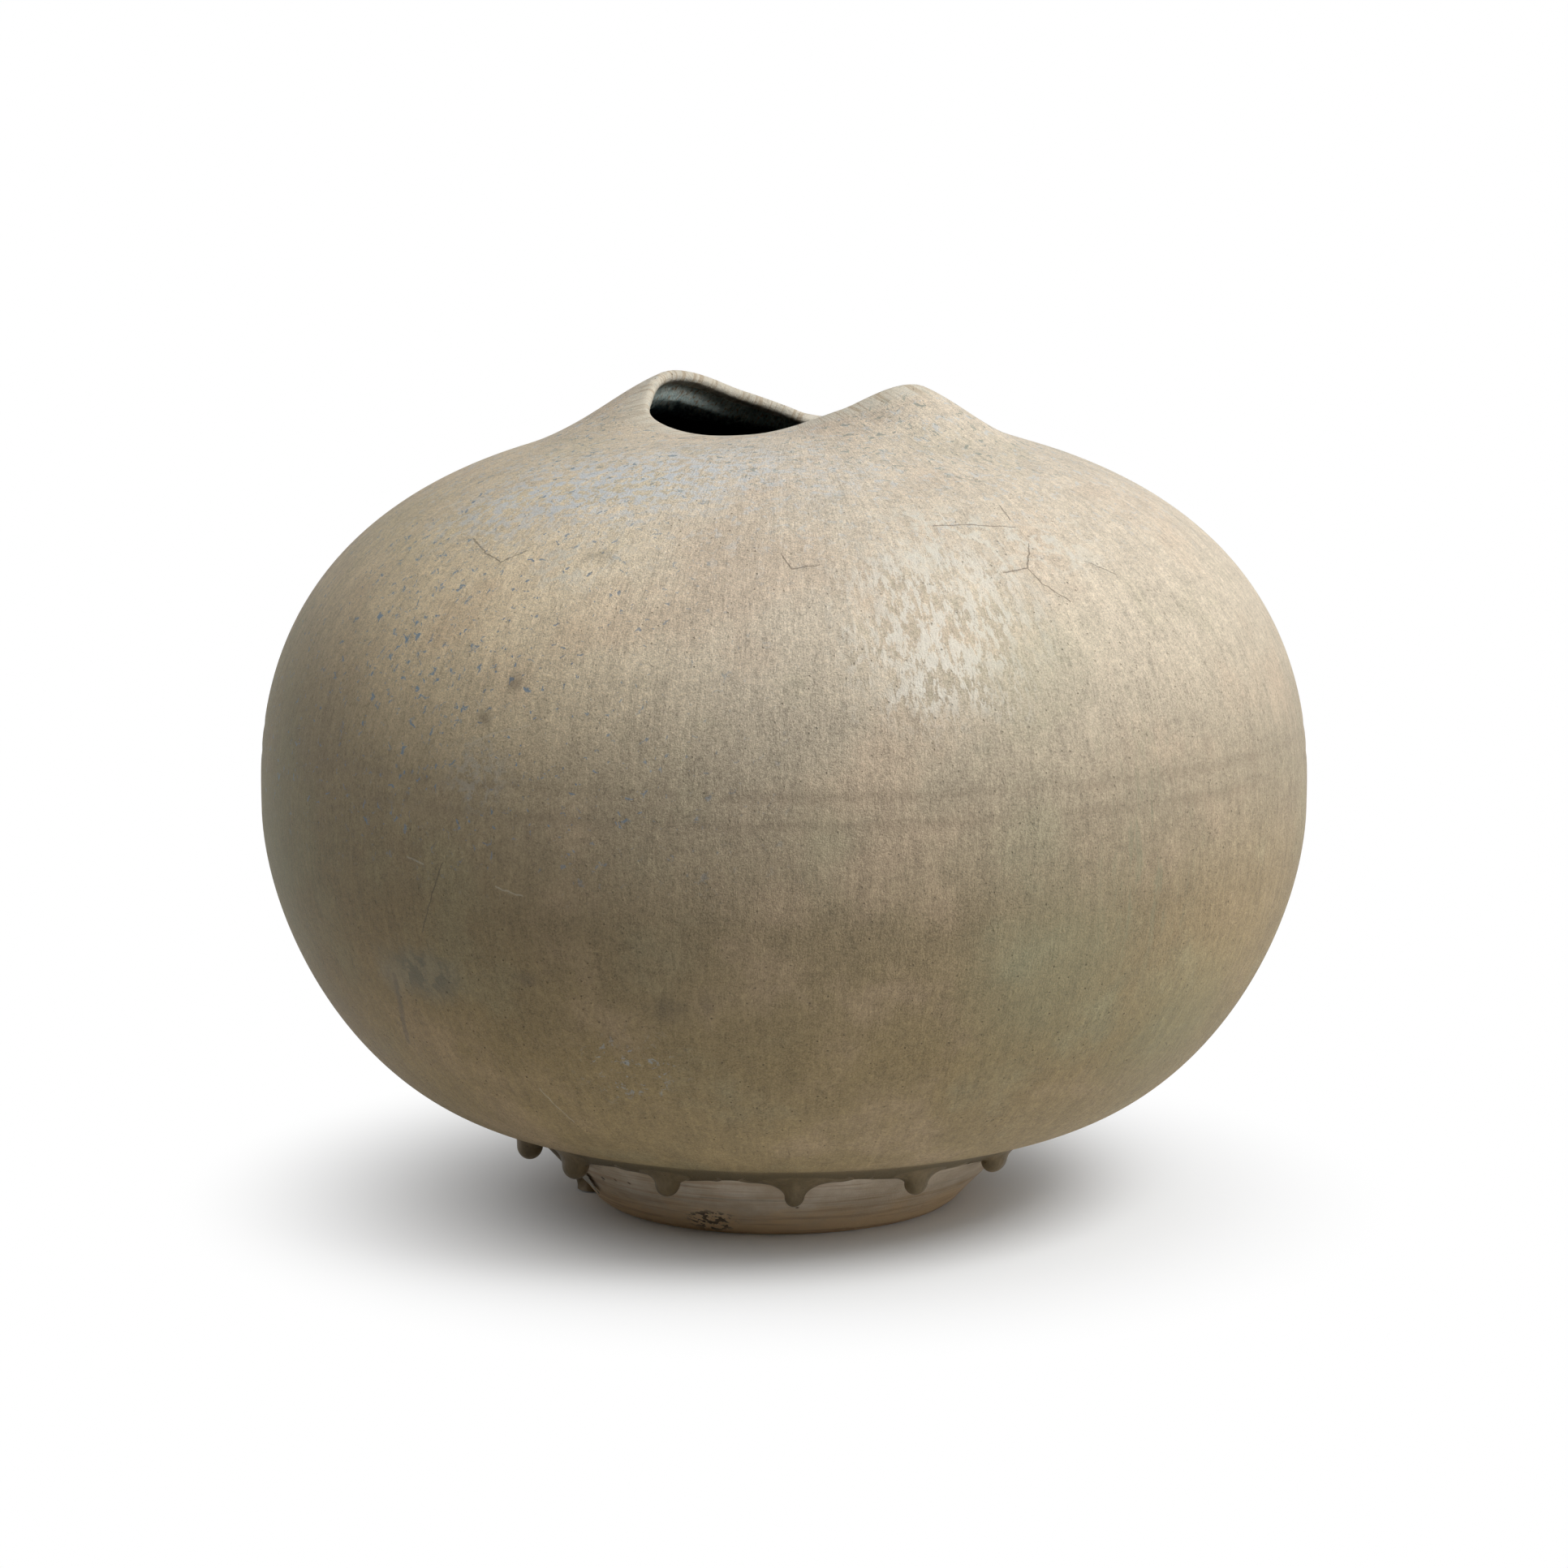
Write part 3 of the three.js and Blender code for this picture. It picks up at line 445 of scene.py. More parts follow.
def wall_point(turn, rise, depth=0, onward=0):
    """Point in the wall: so deep under the glazed outside, square to it, and so far onward. The
    direction up the wall is taken just under the rise, but never across the belly or shoulder."""
    turn, rise, depth, onward = np.broadcast_arrays(turn, rise, depth, onward)
    rise = rise.astype(float)
    step = 1e-4
    first = (rise > 1) & (rise - step < 1) | (rise > SHOULDER_RISE) & (rise - step < SHOULDER_RISE)
    low = np.where(first, rise, np.clip(rise - step, 0, None))
    up = (body_point(turn, np.minimum(low + step, LIP_RISE))
          - body_point(turn, np.minimum(low, LIP_RISE - step)))
    up /= np.linalg.norm(up, axis=-1, keepdims=True)
    side = body_point(turn + step, rise) - body_point(turn - step, rise)
    side /= np.linalg.norm(side, axis=-1, keepdims=True)
    out = np.cross(side, up)
    out /= np.linalg.norm(out, axis=-1, keepdims=True)
    return body_point(turn, rise) - out * depth[..., None] + up * onward[..., None]


def smooth(value, low, high):
    """0 below low, 1 above high, and a smooth S-shaped step between them."""
    u = np.clip((value - low) / (high - low), 0, 1)
    return u * u * (3 - 2 * u)


def wall_thickness(rise):
    """Wall with both coats: thicker towards the floor, thinner towards the lip."""
    low = WALL_THICKNESS + (FLOOR_THICKNESS - WALL_THICKNESS) * np.clip(1 - rise, 0, None) ** 2
    thin = smooth(rise, THINNING_START_RISE, LIP_RISE)
    return np.where(rise < 1, low, WALL_THICKNESS + (LIP_THICKNESS - WALL_THICKNESS) * thin)


def clay_back(rise):
    """Depth of the clay's inner face."""
    return wall_thickness(rise) - CLAY_DEPTH


def rise_at(height, depth=0):
    """Rise at which the upright side of the body passes a height, at a depth or at its back."""
    rises = np.linspace(0.5, 1.8, LINE_SAMPLES)
    back = clay_back(rises) if depth == "back" else depth
    return float(np.interp(height, wall_point(0.0, rises, back)[:, 2], rises))


def rim_rises(heights):
    """Rises at which the clay's outer and its inner face pass each height."""
    return np.array([(rise_at(z, CLAY_DEPTH), rise_at(z, "back")) for z in heights])


def bowl_rises(rim):
    """Even rises up the lower bowl to the belly, one half way on to the rim, and the rim's."""
    return np.append(np.linspace(LOWEST_RISE, 1, BOWL_ROWS), [(1 + rim) / 2, rim])


JOINT_HEIGHTS = (176.7, 186.5)
body_clay = bare_clay("body_clay", (0.34, 0.24, 0.16, 1), (0.22, 0.15, 0.1, 1), 0.8)[0]
rims = rim_rises(JOINT_HEIGHTS)
outer_rises, inner_rises = bowl_rises(rims[0, 0]), bowl_rises(rims[0, 1])[::-1]
clay_turn = np.linspace(0, ROUND, CLAY_COLUMNS, endpoint=False)[:, None]
floor_clay = BOWL_HEIGHT + FLOOR_THICKNESS - CLAY_DEPTH
floor_radii = np.array([0, 30, 60, UNDERSIDE_START_RADIUS])
closed_skin("lower_thrown_bowl", np.concatenate([
    around(clay_turn, floor_radii, BOWL_HEIGHT),
    wall_point(clay_turn, outer_rises, CLAY_DEPTH),
    wall_point(clay_turn, inner_rises, clay_back(inner_rises)),
    around(clay_turn, floor_radii[::-1], floor_clay),
], axis=1), body_clay, ["lower_bowl"])

# Belly coil
# A coil of soft clay that was pressed in where the two bowls meet rim to rim. Its edges show
# through the glaze as two faint level lines.

COIL_ROWS = 5
coil_outer, coil_inner = rim_rises(np.linspace(*JOINT_HEIGHTS, COIL_ROWS)).T
closed_skin("belly_luting_coil", np.concatenate([
    wall_point(clay_turn, coil_outer, CLAY_DEPTH),
    wall_point(clay_turn, coil_inner[::-1], clay_back(coil_inner[::-1])),
], axis=1), slip_clay, ["belly_joint_coil"])

# Upper bowl
# The upper half of the body, thrown upside down in the same bare stoneware and turned over on to
# the coil. It is open at the shoulder, where the collar is luted on.


def wall_piece(name, section, paint, node_names):
    """Closed piece swept round the pot from a section of rise, depth and onward rows."""
    rise, depth, onward = np.concatenate([np.stack(np.broadcast_arrays(*part), -1).reshape(-1, 3)
                                          for part in section]).T
    closed_skin(name, wall_point(clay_turn, rise, depth, onward), paint, node_names)


slip_top = -CLEARANCE
slip_foot = slip_top - SLIP_THICKNESS
bowl_top = slip_foot - CLEARANCE
shoulder_back = clay_back(SHOULDER_RISE)
CROWN_ROWS = 34
crown = np.linspace(1.2, 1.99, CROWN_ROWS)
wall_piece("upper_thrown_bowl", [
    (rims[1, 0], CLAY_DEPTH, 0), (crown, CLAY_DEPTH, 0), (SHOULDER_RISE, CLAY_DEPTH, bowl_top),
    (SHOULDER_RISE, shoulder_back, bowl_top), (crown[::-1], clay_back(crown[::-1]), 0),
    (rims[1, 1], clay_back(rims[1, 1]), 0),
], body_clay, ["upper_bowl"])

# Collar slip
# A ring of liquid clay, brushed on the edge of the upper bowl to join the collar to it. It fires
# to the same body.

wall_piece("collar_luting_slip", [
    (SHOULDER_RISE, CLAY_DEPTH, slip_foot), (SHOULDER_RISE, CLAY_DEPTH, slip_top),
    (SHOULDER_RISE, shoulder_back, slip_top), (SHOULDER_RISE, shoulder_back, slip_foot),
], slip_clay, ["collar_slip"])

# Folded collar
# The mouth of bare stoneware, thrown apart, folded into a long oval while it was soft and luted on
# the shoulder. It thins to a round lip that rises in a peak at both ends.


def lip_round(skin, count):
    """Half circle over the lip through the middle of the wall, from its outer to its inner face:
    depths and onward reaches."""
    angle = np.linspace(0, np.pi, count)
    radius = LIP_THICKNESS / 2 - skin
    return LIP_THICKNESS / 2 - radius * np.cos(angle), radius * np.sin(angle)


GLAZE_LAP = 3
COLLAR_ROWS = 26
collar_outer = np.linspace(SHOULDER_RISE, 2.97, COLLAR_ROWS)
collar_inner = collar_outer[:-2][::-1]
wall_piece("folded_collar", [
    (collar_outer, CLAY_DEPTH, 0), (LIP_RISE, *lip_round(CLAY_DEPTH, 7)),
    (LIP_RISE, clay_back(LIP_RISE), -GLAZE_LAP), (collar_inner, clay_back(collar_inner), 0),
], body_clay, ["mouth_collar"])

# Inner glaze
# A glossy glaze poured round the inside and out again. It is nearly black deep inside, and celadon
# broken with ochre where it gathered in a bead under the lip; the pale tones there are partly
# painted light.

LINING_BEAD = 4.5
BEAD_LENGTH = 1.6 * LINING_BEAD
BEAD_LEAST_SHARE = 0.2
BEAD_ROWS = 9
LINING_ROWS = 90
LINING_COLLAR_ROWS = 24
POOL_ROWS = 12
lining, tree, gloss, where = new_paint("glossy_lining", 0.16)
drawn = shade(tree, "Attribute", attribute_name="flow").outputs["Vector"]
below = shade(tree, "Attribute", attribute_name="lip").outputs["Fac"]
runny = grain(tree, drawn, 60, 5, 0.65, (1, 1, 1.6))
drops = grain(tree, drawn, 26, 5, 0.65, (1, 1, 2))
mottle = grain(tree, where, 160, 5, 0.65)
# Tones from the depths to the lip; each begins at a distance from the lip that the drops tear
edge = reckon(tree, "ADD", below, reckon(tree, "MULTIPLY_ADD", drops, 0.024, -0.012))
colour = tinted(tree, eased(tree, mottle, 0.35, 0.65), (0.012, 0.012, 0.01, 1),
                (0.035, 0.034, 0.028, 1))
colour = tinted(tree, eased(tree, edge, 0.024, 0.016), colour, (0.1, 0.16, 0.17, 1))
# Painted light: the celadon and cream under the lip are partly the glaze's own tones, made paler to
# stand in for light that reaches in over the lip
colour = tinted(tree, eased(tree, edge, 0.018, 0.011), colour, (0.6, 0.72, 0.68, 1))
colour = tinted(tree, eased(tree, edge, 0.01, 0.006), colour, (0.84, 0.91, 0.83, 1))
ochre = reckon(tree, "MULTIPLY", eased(tree, runny, 0.52, 0.6), eased(tree, edge, 0.02, 0.01))
colour = tinted(tree, reckon(tree, "MULTIPLY", ochre, 0.7), colour, (0.42, 0.28, 0.14, 1))
tree.links.new(colour, gloss.inputs["Base Color"])
rough_up(tree, gloss, runny, 0.0007)
# The bead takes the place of the last five rows of the collar
lining_rises = np.concatenate([np.linspace(LOWEST_RISE, SHOULDER_RISE, LINING_ROWS),
                               np.linspace(2.02, 2.95, LINING_COLLAR_ROWS)[:-5]])
floor_glaze = BOWL_HEIGHT + FLOOR_THICKNESS
pool = np.linspace(0, UNDERSIDE_START_RADIUS, POOL_ROWS)
# The bead is fullest at the back, where the sine of the turn is high
bead_share = BEAD_LEAST_SHARE + (1 - BEAD_LEAST_SHARE) * smooth(np.sin(clay_turn), -0.2, 0.6)
along = np.linspace(0, 1, BEAD_ROWS)
bead_depth = LIP_THICKNESS + LINING_BEAD * bead_share * smooth(along, 0, 1)
bead_rows = wall_point(clay_turn, LIP_RISE, bead_depth,
                       -GLAZE_LAP - CLEARANCE - BEAD_LENGTH * bead_share * along)
swelling = LINING_BEAD * bead_share * smooth(lining_rises, 2.3, 2.8)
lining_points = np.concatenate([
    around(clay_turn, pool, floor_glaze - COAT),
    wall_point(clay_turn, lining_rises, wall_thickness(lining_rises) - COAT),
    wall_point(clay_turn, LIP_RISE, LIP_THICKNESS - COAT, -GLAZE_LAP - CLEARANCE),
    bead_rows,
    wall_point(clay_turn, lining_rises[::-1],
               wall_thickness(lining_rises[::-1]) + swelling[:, ::-1]),
    around(clay_turn, pool[::-1], floor_glaze),
], axis=1)
from_lip = np.linalg.norm(lining_points - lip_point(clay_turn), axis=-1) * MM
bearing = np.broadcast_to(clay_turn, from_lip.shape)
closed_skin("glossy_lining", lining_points, lining, ["inner_glaze"],
            flow=np.stack([np.cos(bearing), np.sin(bearing), 5 * from_lip], -1), lip=from_lip)

# Outer glaze
# A thick matt tan glaze over the whole outside. It is dry and finely grained, drawn out in
# upright streaks by the heat, milky blue where it lies thick on the shoulder, cracked and peeled
# in places, and gathered in a dark rolled edge above the foot.

COAT_COLUMNS = 440
COAT_LOWER_ROWS = 56
COAT_UPPER_ROWS = 60
COAT_COLLAR_ROWS = 30
GROOVE_ROWS = 7
GROOVE_HALF = 0.016
EVEN_SHARES = np.linspace(0, 1, 2001)
GROOVE_DEPTH = 0.2
GROOVE_REACH = 0.011
EDGE_RISE = 1.3
EDGE_SAG = 2.2
SAG_HALF_WIDTH = np.radians(9)
# Each run: name, bearing in degrees from the front, width of its bead and of its root, reach of
# its tip and of its root from the pot's axis, and how high over the ground its tip is
RUNS = [
    ("far_left", -68.8, 10, 15, 103, 103, 21.2), ("left", -51.4, 10.4, 25, 99, 99, 19.6),
    ("front_left", -25.5, 9.4, 34, 98, 98, 19.8), ("front", 2.8, 7.4, 33, 98, 98, 18.2),
    ("front_right", 30.4, 8.8, 32, 98, 98, 19.4), ("right", 53.2, 9.8, 24, 99, 99, 21.7),
    ("back_right", 95, 9, 26, 98.6, 98.6, 20.5), ("rear_right", 131, 8, 30, 98, 98, 18.6),
    ("rear", 164, 10, 28, 99.2, 99.2, 19.4), ("rear_left", 199, 8.5, 25, 98.2, 98.2, 20.8),
    ("back_left", 232, 9, 29, 98.6, 98.6, 19), ("long", -90, 9, 27, 70.5, 101.6, 0.5),
]
ROLL_WIDTH = 12
ROLL_DROP = 4
ROLL_LAP = 5
ROLL_LIP_WIDTH = 3
ROLL_LIP_HEIGHT = 1.2
ROLL_FULLEST_BEYOND_FLARE = 1
ROLL_ROWS = 14
# The rows of the edge's round lip: distance off the flank, and how far each is moved out and up
EDGE_LIP = [(-0.1, (0, 0)), (0.3, (0, -0.45)), (0.8, (0.1, -0.4))]


def edge_share(turn):
    """Share up the flank at which the glaze ends: it sags at each run, is drawn up between them
    and wanders a little."""
    sag = 0
    for run in RUNS:
        aside = (turn - np.radians(run[1] - 90) + np.pi) % ROUND - np.pi
        sag = np.maximum(sag, np.exp(-(aside / SAG_HALF_WIDTH) ** 2))
    wander = 0.25 * np.sin(9 * turn + 2.2) + 0.2 * np.sin(17 * turn)
    height = FOOT_RING_HEIGHT - ROLL_LAP + EDGE_RISE - EDGE_SAG * sag + wander
    return np.interp(height, flank_line(EVEN_SHARES)[:, 1], EVEN_SHARES)


coat_turn = np.linspace(0, ROUND, COAT_COLUMNS, endpoint=False)[:, None]
# Fat edge of the coat: its round lip on the flank, then a Bézier curve that bulges down and out
# to the underside of the bowl. Rows of radius and height for every column.
edge = edge_share(coat_turn)
lap = off_flank(edge, CLAY_DEPTH)
bend = lap + (ROLL_LIP_WIDTH, ROLL_LIP_HEIGHT)
fullest = np.array([FOOT_FLARE_RADIUS + ROLL_FULLEST_BEYOND_FLARE, BOWL_HEIGHT - ROLL_DROP])
first_rise = float(np.interp(FOOT_FLARE_RADIUS + ROLL_WIDTH, lower_line(EVEN_SHARES)[:, 0],
                             EVEN_SHARES))
roll = bezier([lap, bend, fullest, lower_line(np.array(first_rise))], np.linspace(0, 1, ROLL_ROWS))
edge_rows = np.concatenate([off_flank(edge, off) + moved for off, moved in EDGE_LIP] + [roll],
                           axis=-2)
grooves = [rise_at(z) for z in JOINT_HEIGHTS]
near_groove = np.linspace(-GROOVE_HALF, GROOVE_HALF, GROOVE_ROWS)
rises = np.sort(np.concatenate([
    np.linspace(first_rise, 1, COAT_LOWER_ROWS)[1:],
    np.linspace(1, SHOULDER_RISE, COAT_UPPER_ROWS)[1:],
    np.linspace(SHOULDER_RISE, LIP_RISE, COAT_COLLAR_ROWS)[1:-1],
    *(g + near_groove for g in grooves),
]))
dip = sum(GROOVE_DEPTH * np.exp(-((rises - g) / GROOVE_REACH) ** 2) for g in grooves)
back_rises = np.concatenate([np.linspace(LIP_RISE, SHOULDER_RISE, 12)[1:],
                             np.linspace(SHOULDER_RISE, 0.06, 16)[1:]])
under_foot = flank_line(edge + (1 - edge) * np.array([1, 2 / 3, 1 / 3]))
coat_points = np.concatenate([
    around(coat_turn, edge_rows[..., 0], edge_rows[..., 1]),
    wall_point(coat_turn, rises, dip),
    wall_point(coat_turn, LIP_RISE, *lip_round(0, 11)),
    wall_point(coat_turn, LIP_RISE, np.array([LIP_THICKNESS, LIP_THICKNESS - COAT]), -GLAZE_LAP),
    wall_point(coat_turn, LIP_RISE, *(a[::-1] for a in lip_round(COAT, 5))),
    wall_point(coat_turn, back_rises, COAT),
    around(coat_turn, under_foot[..., 0], under_foot[..., 1]),
], axis=1)
steps = np.linalg.norm(np.diff(coat_points, axis=1), axis=-1)
walked = np.concatenate([np.zeros((COAT_COLUMNS, 1)), np.cumsum(steps, axis=1)], axis=1)
bearing = np.broadcast_to(coat_turn, walked.shape)
flow = np.stack([np.cos(bearing), np.sin(bearing), walked * MM], axis=-1)


def ramp(tree, value, low, high, colours):
    """Colour that runs through the given ones at even steps as a value goes from low to high."""
    share = shade(tree, "MapRange", {0: value, 1: low, 2: high}).outputs[0]
    made = shade(tree, "ValToRGB", {0: share})
    stops = made.color_ramp.elements
    for k in range(1, len(colours) - 1):
        stops.new(k / (len(colours) - 1))
    for stop, over in zip(stops, colours):
        stop.color = (*over, 1)
    return made.outputs[0]


def patch(centre, radii, ragged, soft):
    """1 inside an egg-shaped place on the pot and 0 outside, with an edge torn by noise."""
    away = reckon(tree, "ADD", egg(tree, where, centre, radii),
                  reckon(tree, "MULTIPLY_ADD", ragged, 1.6, -0.8))
    return eased(tree, away, 1 + soft / 2, 1 - soft)


def along_flow(width, length, detail=5, roughness=0.65):
    """Noise whose cells are so many millimetres wide at the belly and so long down the flow."""
    scale = BELLY_RADIUS / width
    return grain(tree, drawn, scale, detail, roughness, (1, 1, 1 / (length * MM * scale)), 0.3)


def near_line(points, width):
    """1 on a line through the points, in millimetres, and 0 past its width. The distance to each
    straight stretch is measured from the shaken place, in the glaze's own surface, by the cross
    product with its normal."""
    nearest = None
    for start, end in zip(np.array(points[:-1]) * MM, np.array(points[1:]) * MM):
        run = end - start
        apart = vector_sum(tree, "SUBTRACT", shaken, start)
        share = vector_sum(tree, "DOT_PRODUCT", apart, run / (run @ run))
        share = shade(tree, "Clamp", {0: share}).outputs[0]
        along = vector_sum(tree, "MULTIPLY", run, share)
        off = vector_sum(tree, "SUBTRACT", apart, along)
        gap = vector_sum(tree, "LENGTH", vector_sum(tree, "CROSS_PRODUCT", off, facing))
        nearest = gap if nearest is None else reckon(tree, "MINIMUM", nearest, gap)
    return eased(tree, nearest, width * MM, width * 0.35 * MM)


# Widths of the lines in millimetres, and how far noise shakes them and lifts the relief, in metres
SMEAR_WIDTH = 1.8
CRACK_WIDTH = 0.42
SCRATCH_WIDTH = 0.45
LINE_SHAKE = 0.0018
COAT_RELIEF = 0.0009
# Tones laid over the glaze
WARM_TAN, COOL_OLIVE, WORN_OLIVE = (0.5, 0.36, 0.25), (0.44, 0.42, 0.27), (0.36, 0.34, 0.22)
MILKY_BLUE, PALE_BLUE = (0.7, 0.73, 0.755), (0.6, 0.63, 0.64)
SLATE_BLUE, GREY_BLUE, GREY_FLECK = (0.17, 0.25, 0.33), (0.22, 0.31, 0.4), (0.38, 0.42, 0.42)
DARK_GREEN, GRASS_GREEN, PALE_GREEN = (0.2, 0.24, 0.21), (0.22, 0.22, 0.14), (0.3, 0.33, 0.2)
CREAM_FLAKE, CREAM_VEIN, PALE_SCRAPE = (0.8, 0.76, 0.66), (0.76, 0.73, 0.63), (0.5, 0.48, 0.42)
DARK_STAIN, PINHOLE, SCRATCH = (0.12, 0.095, 0.065), (0.09, 0.06, 0.035), (0.62, 0.55, 0.42)
SCUFF_GREY, SCUFF_DARK = (0.3, 0.29, 0.21), (0.11, 0.1, 0.07)
SMEAR, CRACK = (0.12, 0.1, 0.07), (0.1, 0.075, 0.05)
JOINT_SHADE, EDGE_BROWN = (0.2, 0.15, 0.1), (0.145, 0.11, 0.058)
LIP_CREAM, LIP_BROWN = (0.76, 0.71, 0.59), (0.45, 0.33, 0.2)
coat, tree, gloss, where = new_paint("matt_coat", 0.55, 0.3)
facing = shade(tree, "TexCoord").outputs["Normal"]
drawn = shade(tree, "Attribute", attribute_name="flow").outputs["Vector"]
from_lip = shade(tree, "Attribute", attribute_name="lip").outputs["Fac"]
right, _, high = shade(tree, "SeparateXYZ", {0: where}).outputs
cloud = grain(tree, where, 16, 5, 0.6)
mottle = grain(tree, where, 75, 5, 0.65)
speckle = grain(tree, where, 420, 4, 0.8)
sand = grain(tree, where, 1500, 2, 0.9)
streak = along_flow(3.5, 30)
fine_streak = along_flow(1.2, 7)
torn = along_flow(3.2, 8, 6, 0.72)
smoky = grain(tree, where, 260, 6, 0.72, (1, 1, 1), 0.6)


def lay(share, strength, over):
    """Lay one more tone of the glaze over the rest, by a mask and a strength."""
    global colour
    colour = tinted(tree, reckon(tree, "MULTIPLY", share, strength), colour, (*over, 1))


def both_of(*shares):
    """Share that is high only where all the given ones are."""
    product = shares[0]
    for share in shares[1:]:
        product = reckon(tree, "MULTIPLY", product, share)
    return product


# Olive at the foot, brown tan below the belly and cream on the shoulder, darker towards the
# bottom: partly the glaze's own tones, partly painted shade low down and painted light on the
# shoulder. One tone every 50 mm from a height of 40 mm
colour = ramp(tree, high, 0.04, 0.29, [(0.36, 0.266, 0.132), (0.308, 0.227, 0.109),
                                       (0.272, 0.209, 0.12), (0.392, 0.326, 0.23),
                                       (0.6, 0.515, 0.396), (0.69, 0.598, 0.472)])
# Clouds of a warmer and a cooler tint
lay(eased(tree, cloud, 0.5, 0.68), 0.3, WARM_TAN)
lay(eased(tree, cloud, 0.48, 0.32), 0.22, COOL_OLIVE)
# Painted shade: the left side a little darker and browner
colour = tinted(tree, eased(tree, right, 0, -0.16), colour, (0.95, 0.9, 0.77, 1), "MULTIPLY")
# Painted light high on the left of the front, paler low at the right, and painted shade at the far
# left, darker and browner
for centre, radii, over in [((-0.1, -0.145, 0.24), (0.085, 0.1, 0.06), (1.4, 1.4, 1.38, 1)),
                            ((0.17, -0.1, 0.13), (0.06, 0.08, 0.04), (1.25, 1.23, 1.2, 1))]:
    colour = tinted(tree, patch(centre, radii, cloud, 0.95), colour, over, "MULTIPLY")
colour = tinted(tree, both_of(eased(tree, right, -0.13, -0.19), eased(tree, high, 0.25, 0.2)),
                colour, (0.66, 0.64, 0.57, 1), "MULTIPLY")
# An even grain, light and dark, at six sizes
tone = 1
for noise, strength in [(cloud, 0.35), (mottle, 0.5), (speckle, 1.05), (sand, 1.45), (streak, 0.5),
                        (fine_streak, 0.5)]:
    tone = reckon(tree, "ADD", tone, reckon(tree, "MULTIPLY_ADD", noise, strength, -strength / 2))
toned = shade(tree, "CombineColor", {0: tone, 1: tone, 2: tone}).outputs[0]
colour = tinted(tree, 1, colour, toned, "MULTIPLY")
# Milky blue on the left shoulder, dark flecks round the peaks, blue specks over the left half
milky = patch((-0.058, -0.094, 0.284), (0.085, 0.036, 0.022), cloud, 0.9)
lay(both_of(milky, eased(tree, smoky, 0.46, 0.54)), 0.8, MILKY_BLUE)
lay(both_of(eased(tree, high, 0.245, 0.29), eased(tree, smoky, 0.56, 0.6)), 0.6, PALE_BLUE)
dots = grain(tree, where, 330, 3, 0.6, (1, 1, 1), 0.8)
lay(both_of(eased(tree, high, 0.275, 0.295), eased(tree, dots, 0.605, 0.635)), 0.65, DARK_GREEN)
left = eased(tree, right, 0.03, -0.09)
lay(both_of(left, eased(tree, dots, 0.645, 0.67), eased(tree, high, 0.14, 0.18)), 0.85,
    SLATE_BLUE)
bluest = patch((-0.128, -0.125, 0.225), (0.034, 0.05, 0.05), cloud, 0.8)
lay(both_of(bluest, eased(tree, dots, 0.6, 0.63)), 0.75, GREY_BLUE)
# Cream flakes where the skin peeled, down the right of the front, and pale torn veins above them
peeled = patch((0.054, -0.162, 0.242), (0.036, 0.045, 0.036), mottle, 0.6)
lay(both_of(peeled, eased(tree, torn, 0.49, 0.51)), 0.72, CREAM_FLAKE)
lay(both_of(peeled, eased(tree, torn, 0.45, 0.4)), 0.25, WORN_OLIVE)
vein = reckon(tree, "ABSOLUTE", reckon(tree, "SUBTRACT", grain(tree, where, 42, 6, 0.6), 0.5))
vein = reckon(tree, "MAXIMUM", eased(tree, vein, 0.035, 0.012),
              eased(tree, mottle, 0.56, 0.62))
for centre, radii, strength in [((0.062, -0.135, 0.268), (0.04, 0.026, 0.016), 0.6),
                                ((0.1, -0.115, 0.266), (0.02, 0.02, 0.014), 0.45),
                                ((-0.07, -0.138, 0.26), (0.02, 0.014, 0.015), 0.5)]:
    lay(both_of(patch(centre, radii, mottle, 0.7), vein), strength, CREAM_VEIN)
# Stains and two dents on the left, and a pale scrape round the dents
for centre, radii, strength in [((-0.062, -0.136, 0.262), (0.004, 0.006, 0.004), 0.45),
                                ((-0.0927, -0.1605, 0.2205), (0.0028, 0.006, 0.0042), 0.6),
                                ((-0.1037, -0.1615, 0.2097), (0.0032, 0.006, 0.0038), 0.6),
                                ((-0.089, -0.171, 0.119), (0.005, 0.006, 0.003), 0.35),
                                ((-0.0386, -0.186, 0.111), (0.009, 0.006, 0.006), 0.35),
                                ((-0.026, -0.19, 0.114), (0.003, 0.006, 0.006), 0.35)]:
    lay(patch(centre, radii, mottle, 0.9), strength, DARK_STAIN)
lay(both_of(patch((-0.106, -0.164, 0.19), (0.013, 0.02, 0.012), mottle, 0.8),
            eased(tree, smoky, 0.46, 0.56)), 0.4, PALE_SCRAPE)
# Greenish upright streaks at the right, and green tints low down
grassy = patch((0.128, -0.15, 0.166), (0.028, 0.03, 0.05), cloud, 0.9)
lay(both_of(grassy, eased(tree, streak, 0.53, 0.6)), 0.5, GRASS_GREEN)
for centre, radii in [((0.0135, -0.199, 0.173), (0.012, 0.01, 0.02)),
                      ((0.08, -0.15, 0.23), (0.03, 0.03, 0.02)),
                      ((0.094, -0.168, 0.12), (0.04, 0.03, 0.04)),
                      ((0.14, -0.11, 0.09), (0.04, 0.04, 0.03)),
                      ((-0.19, -0.05, 0.15), (0.03, 0.06, 0.08))]:
    lay(patch(centre, radii, cloud, 0.9), 0.25, PALE_GREEN)
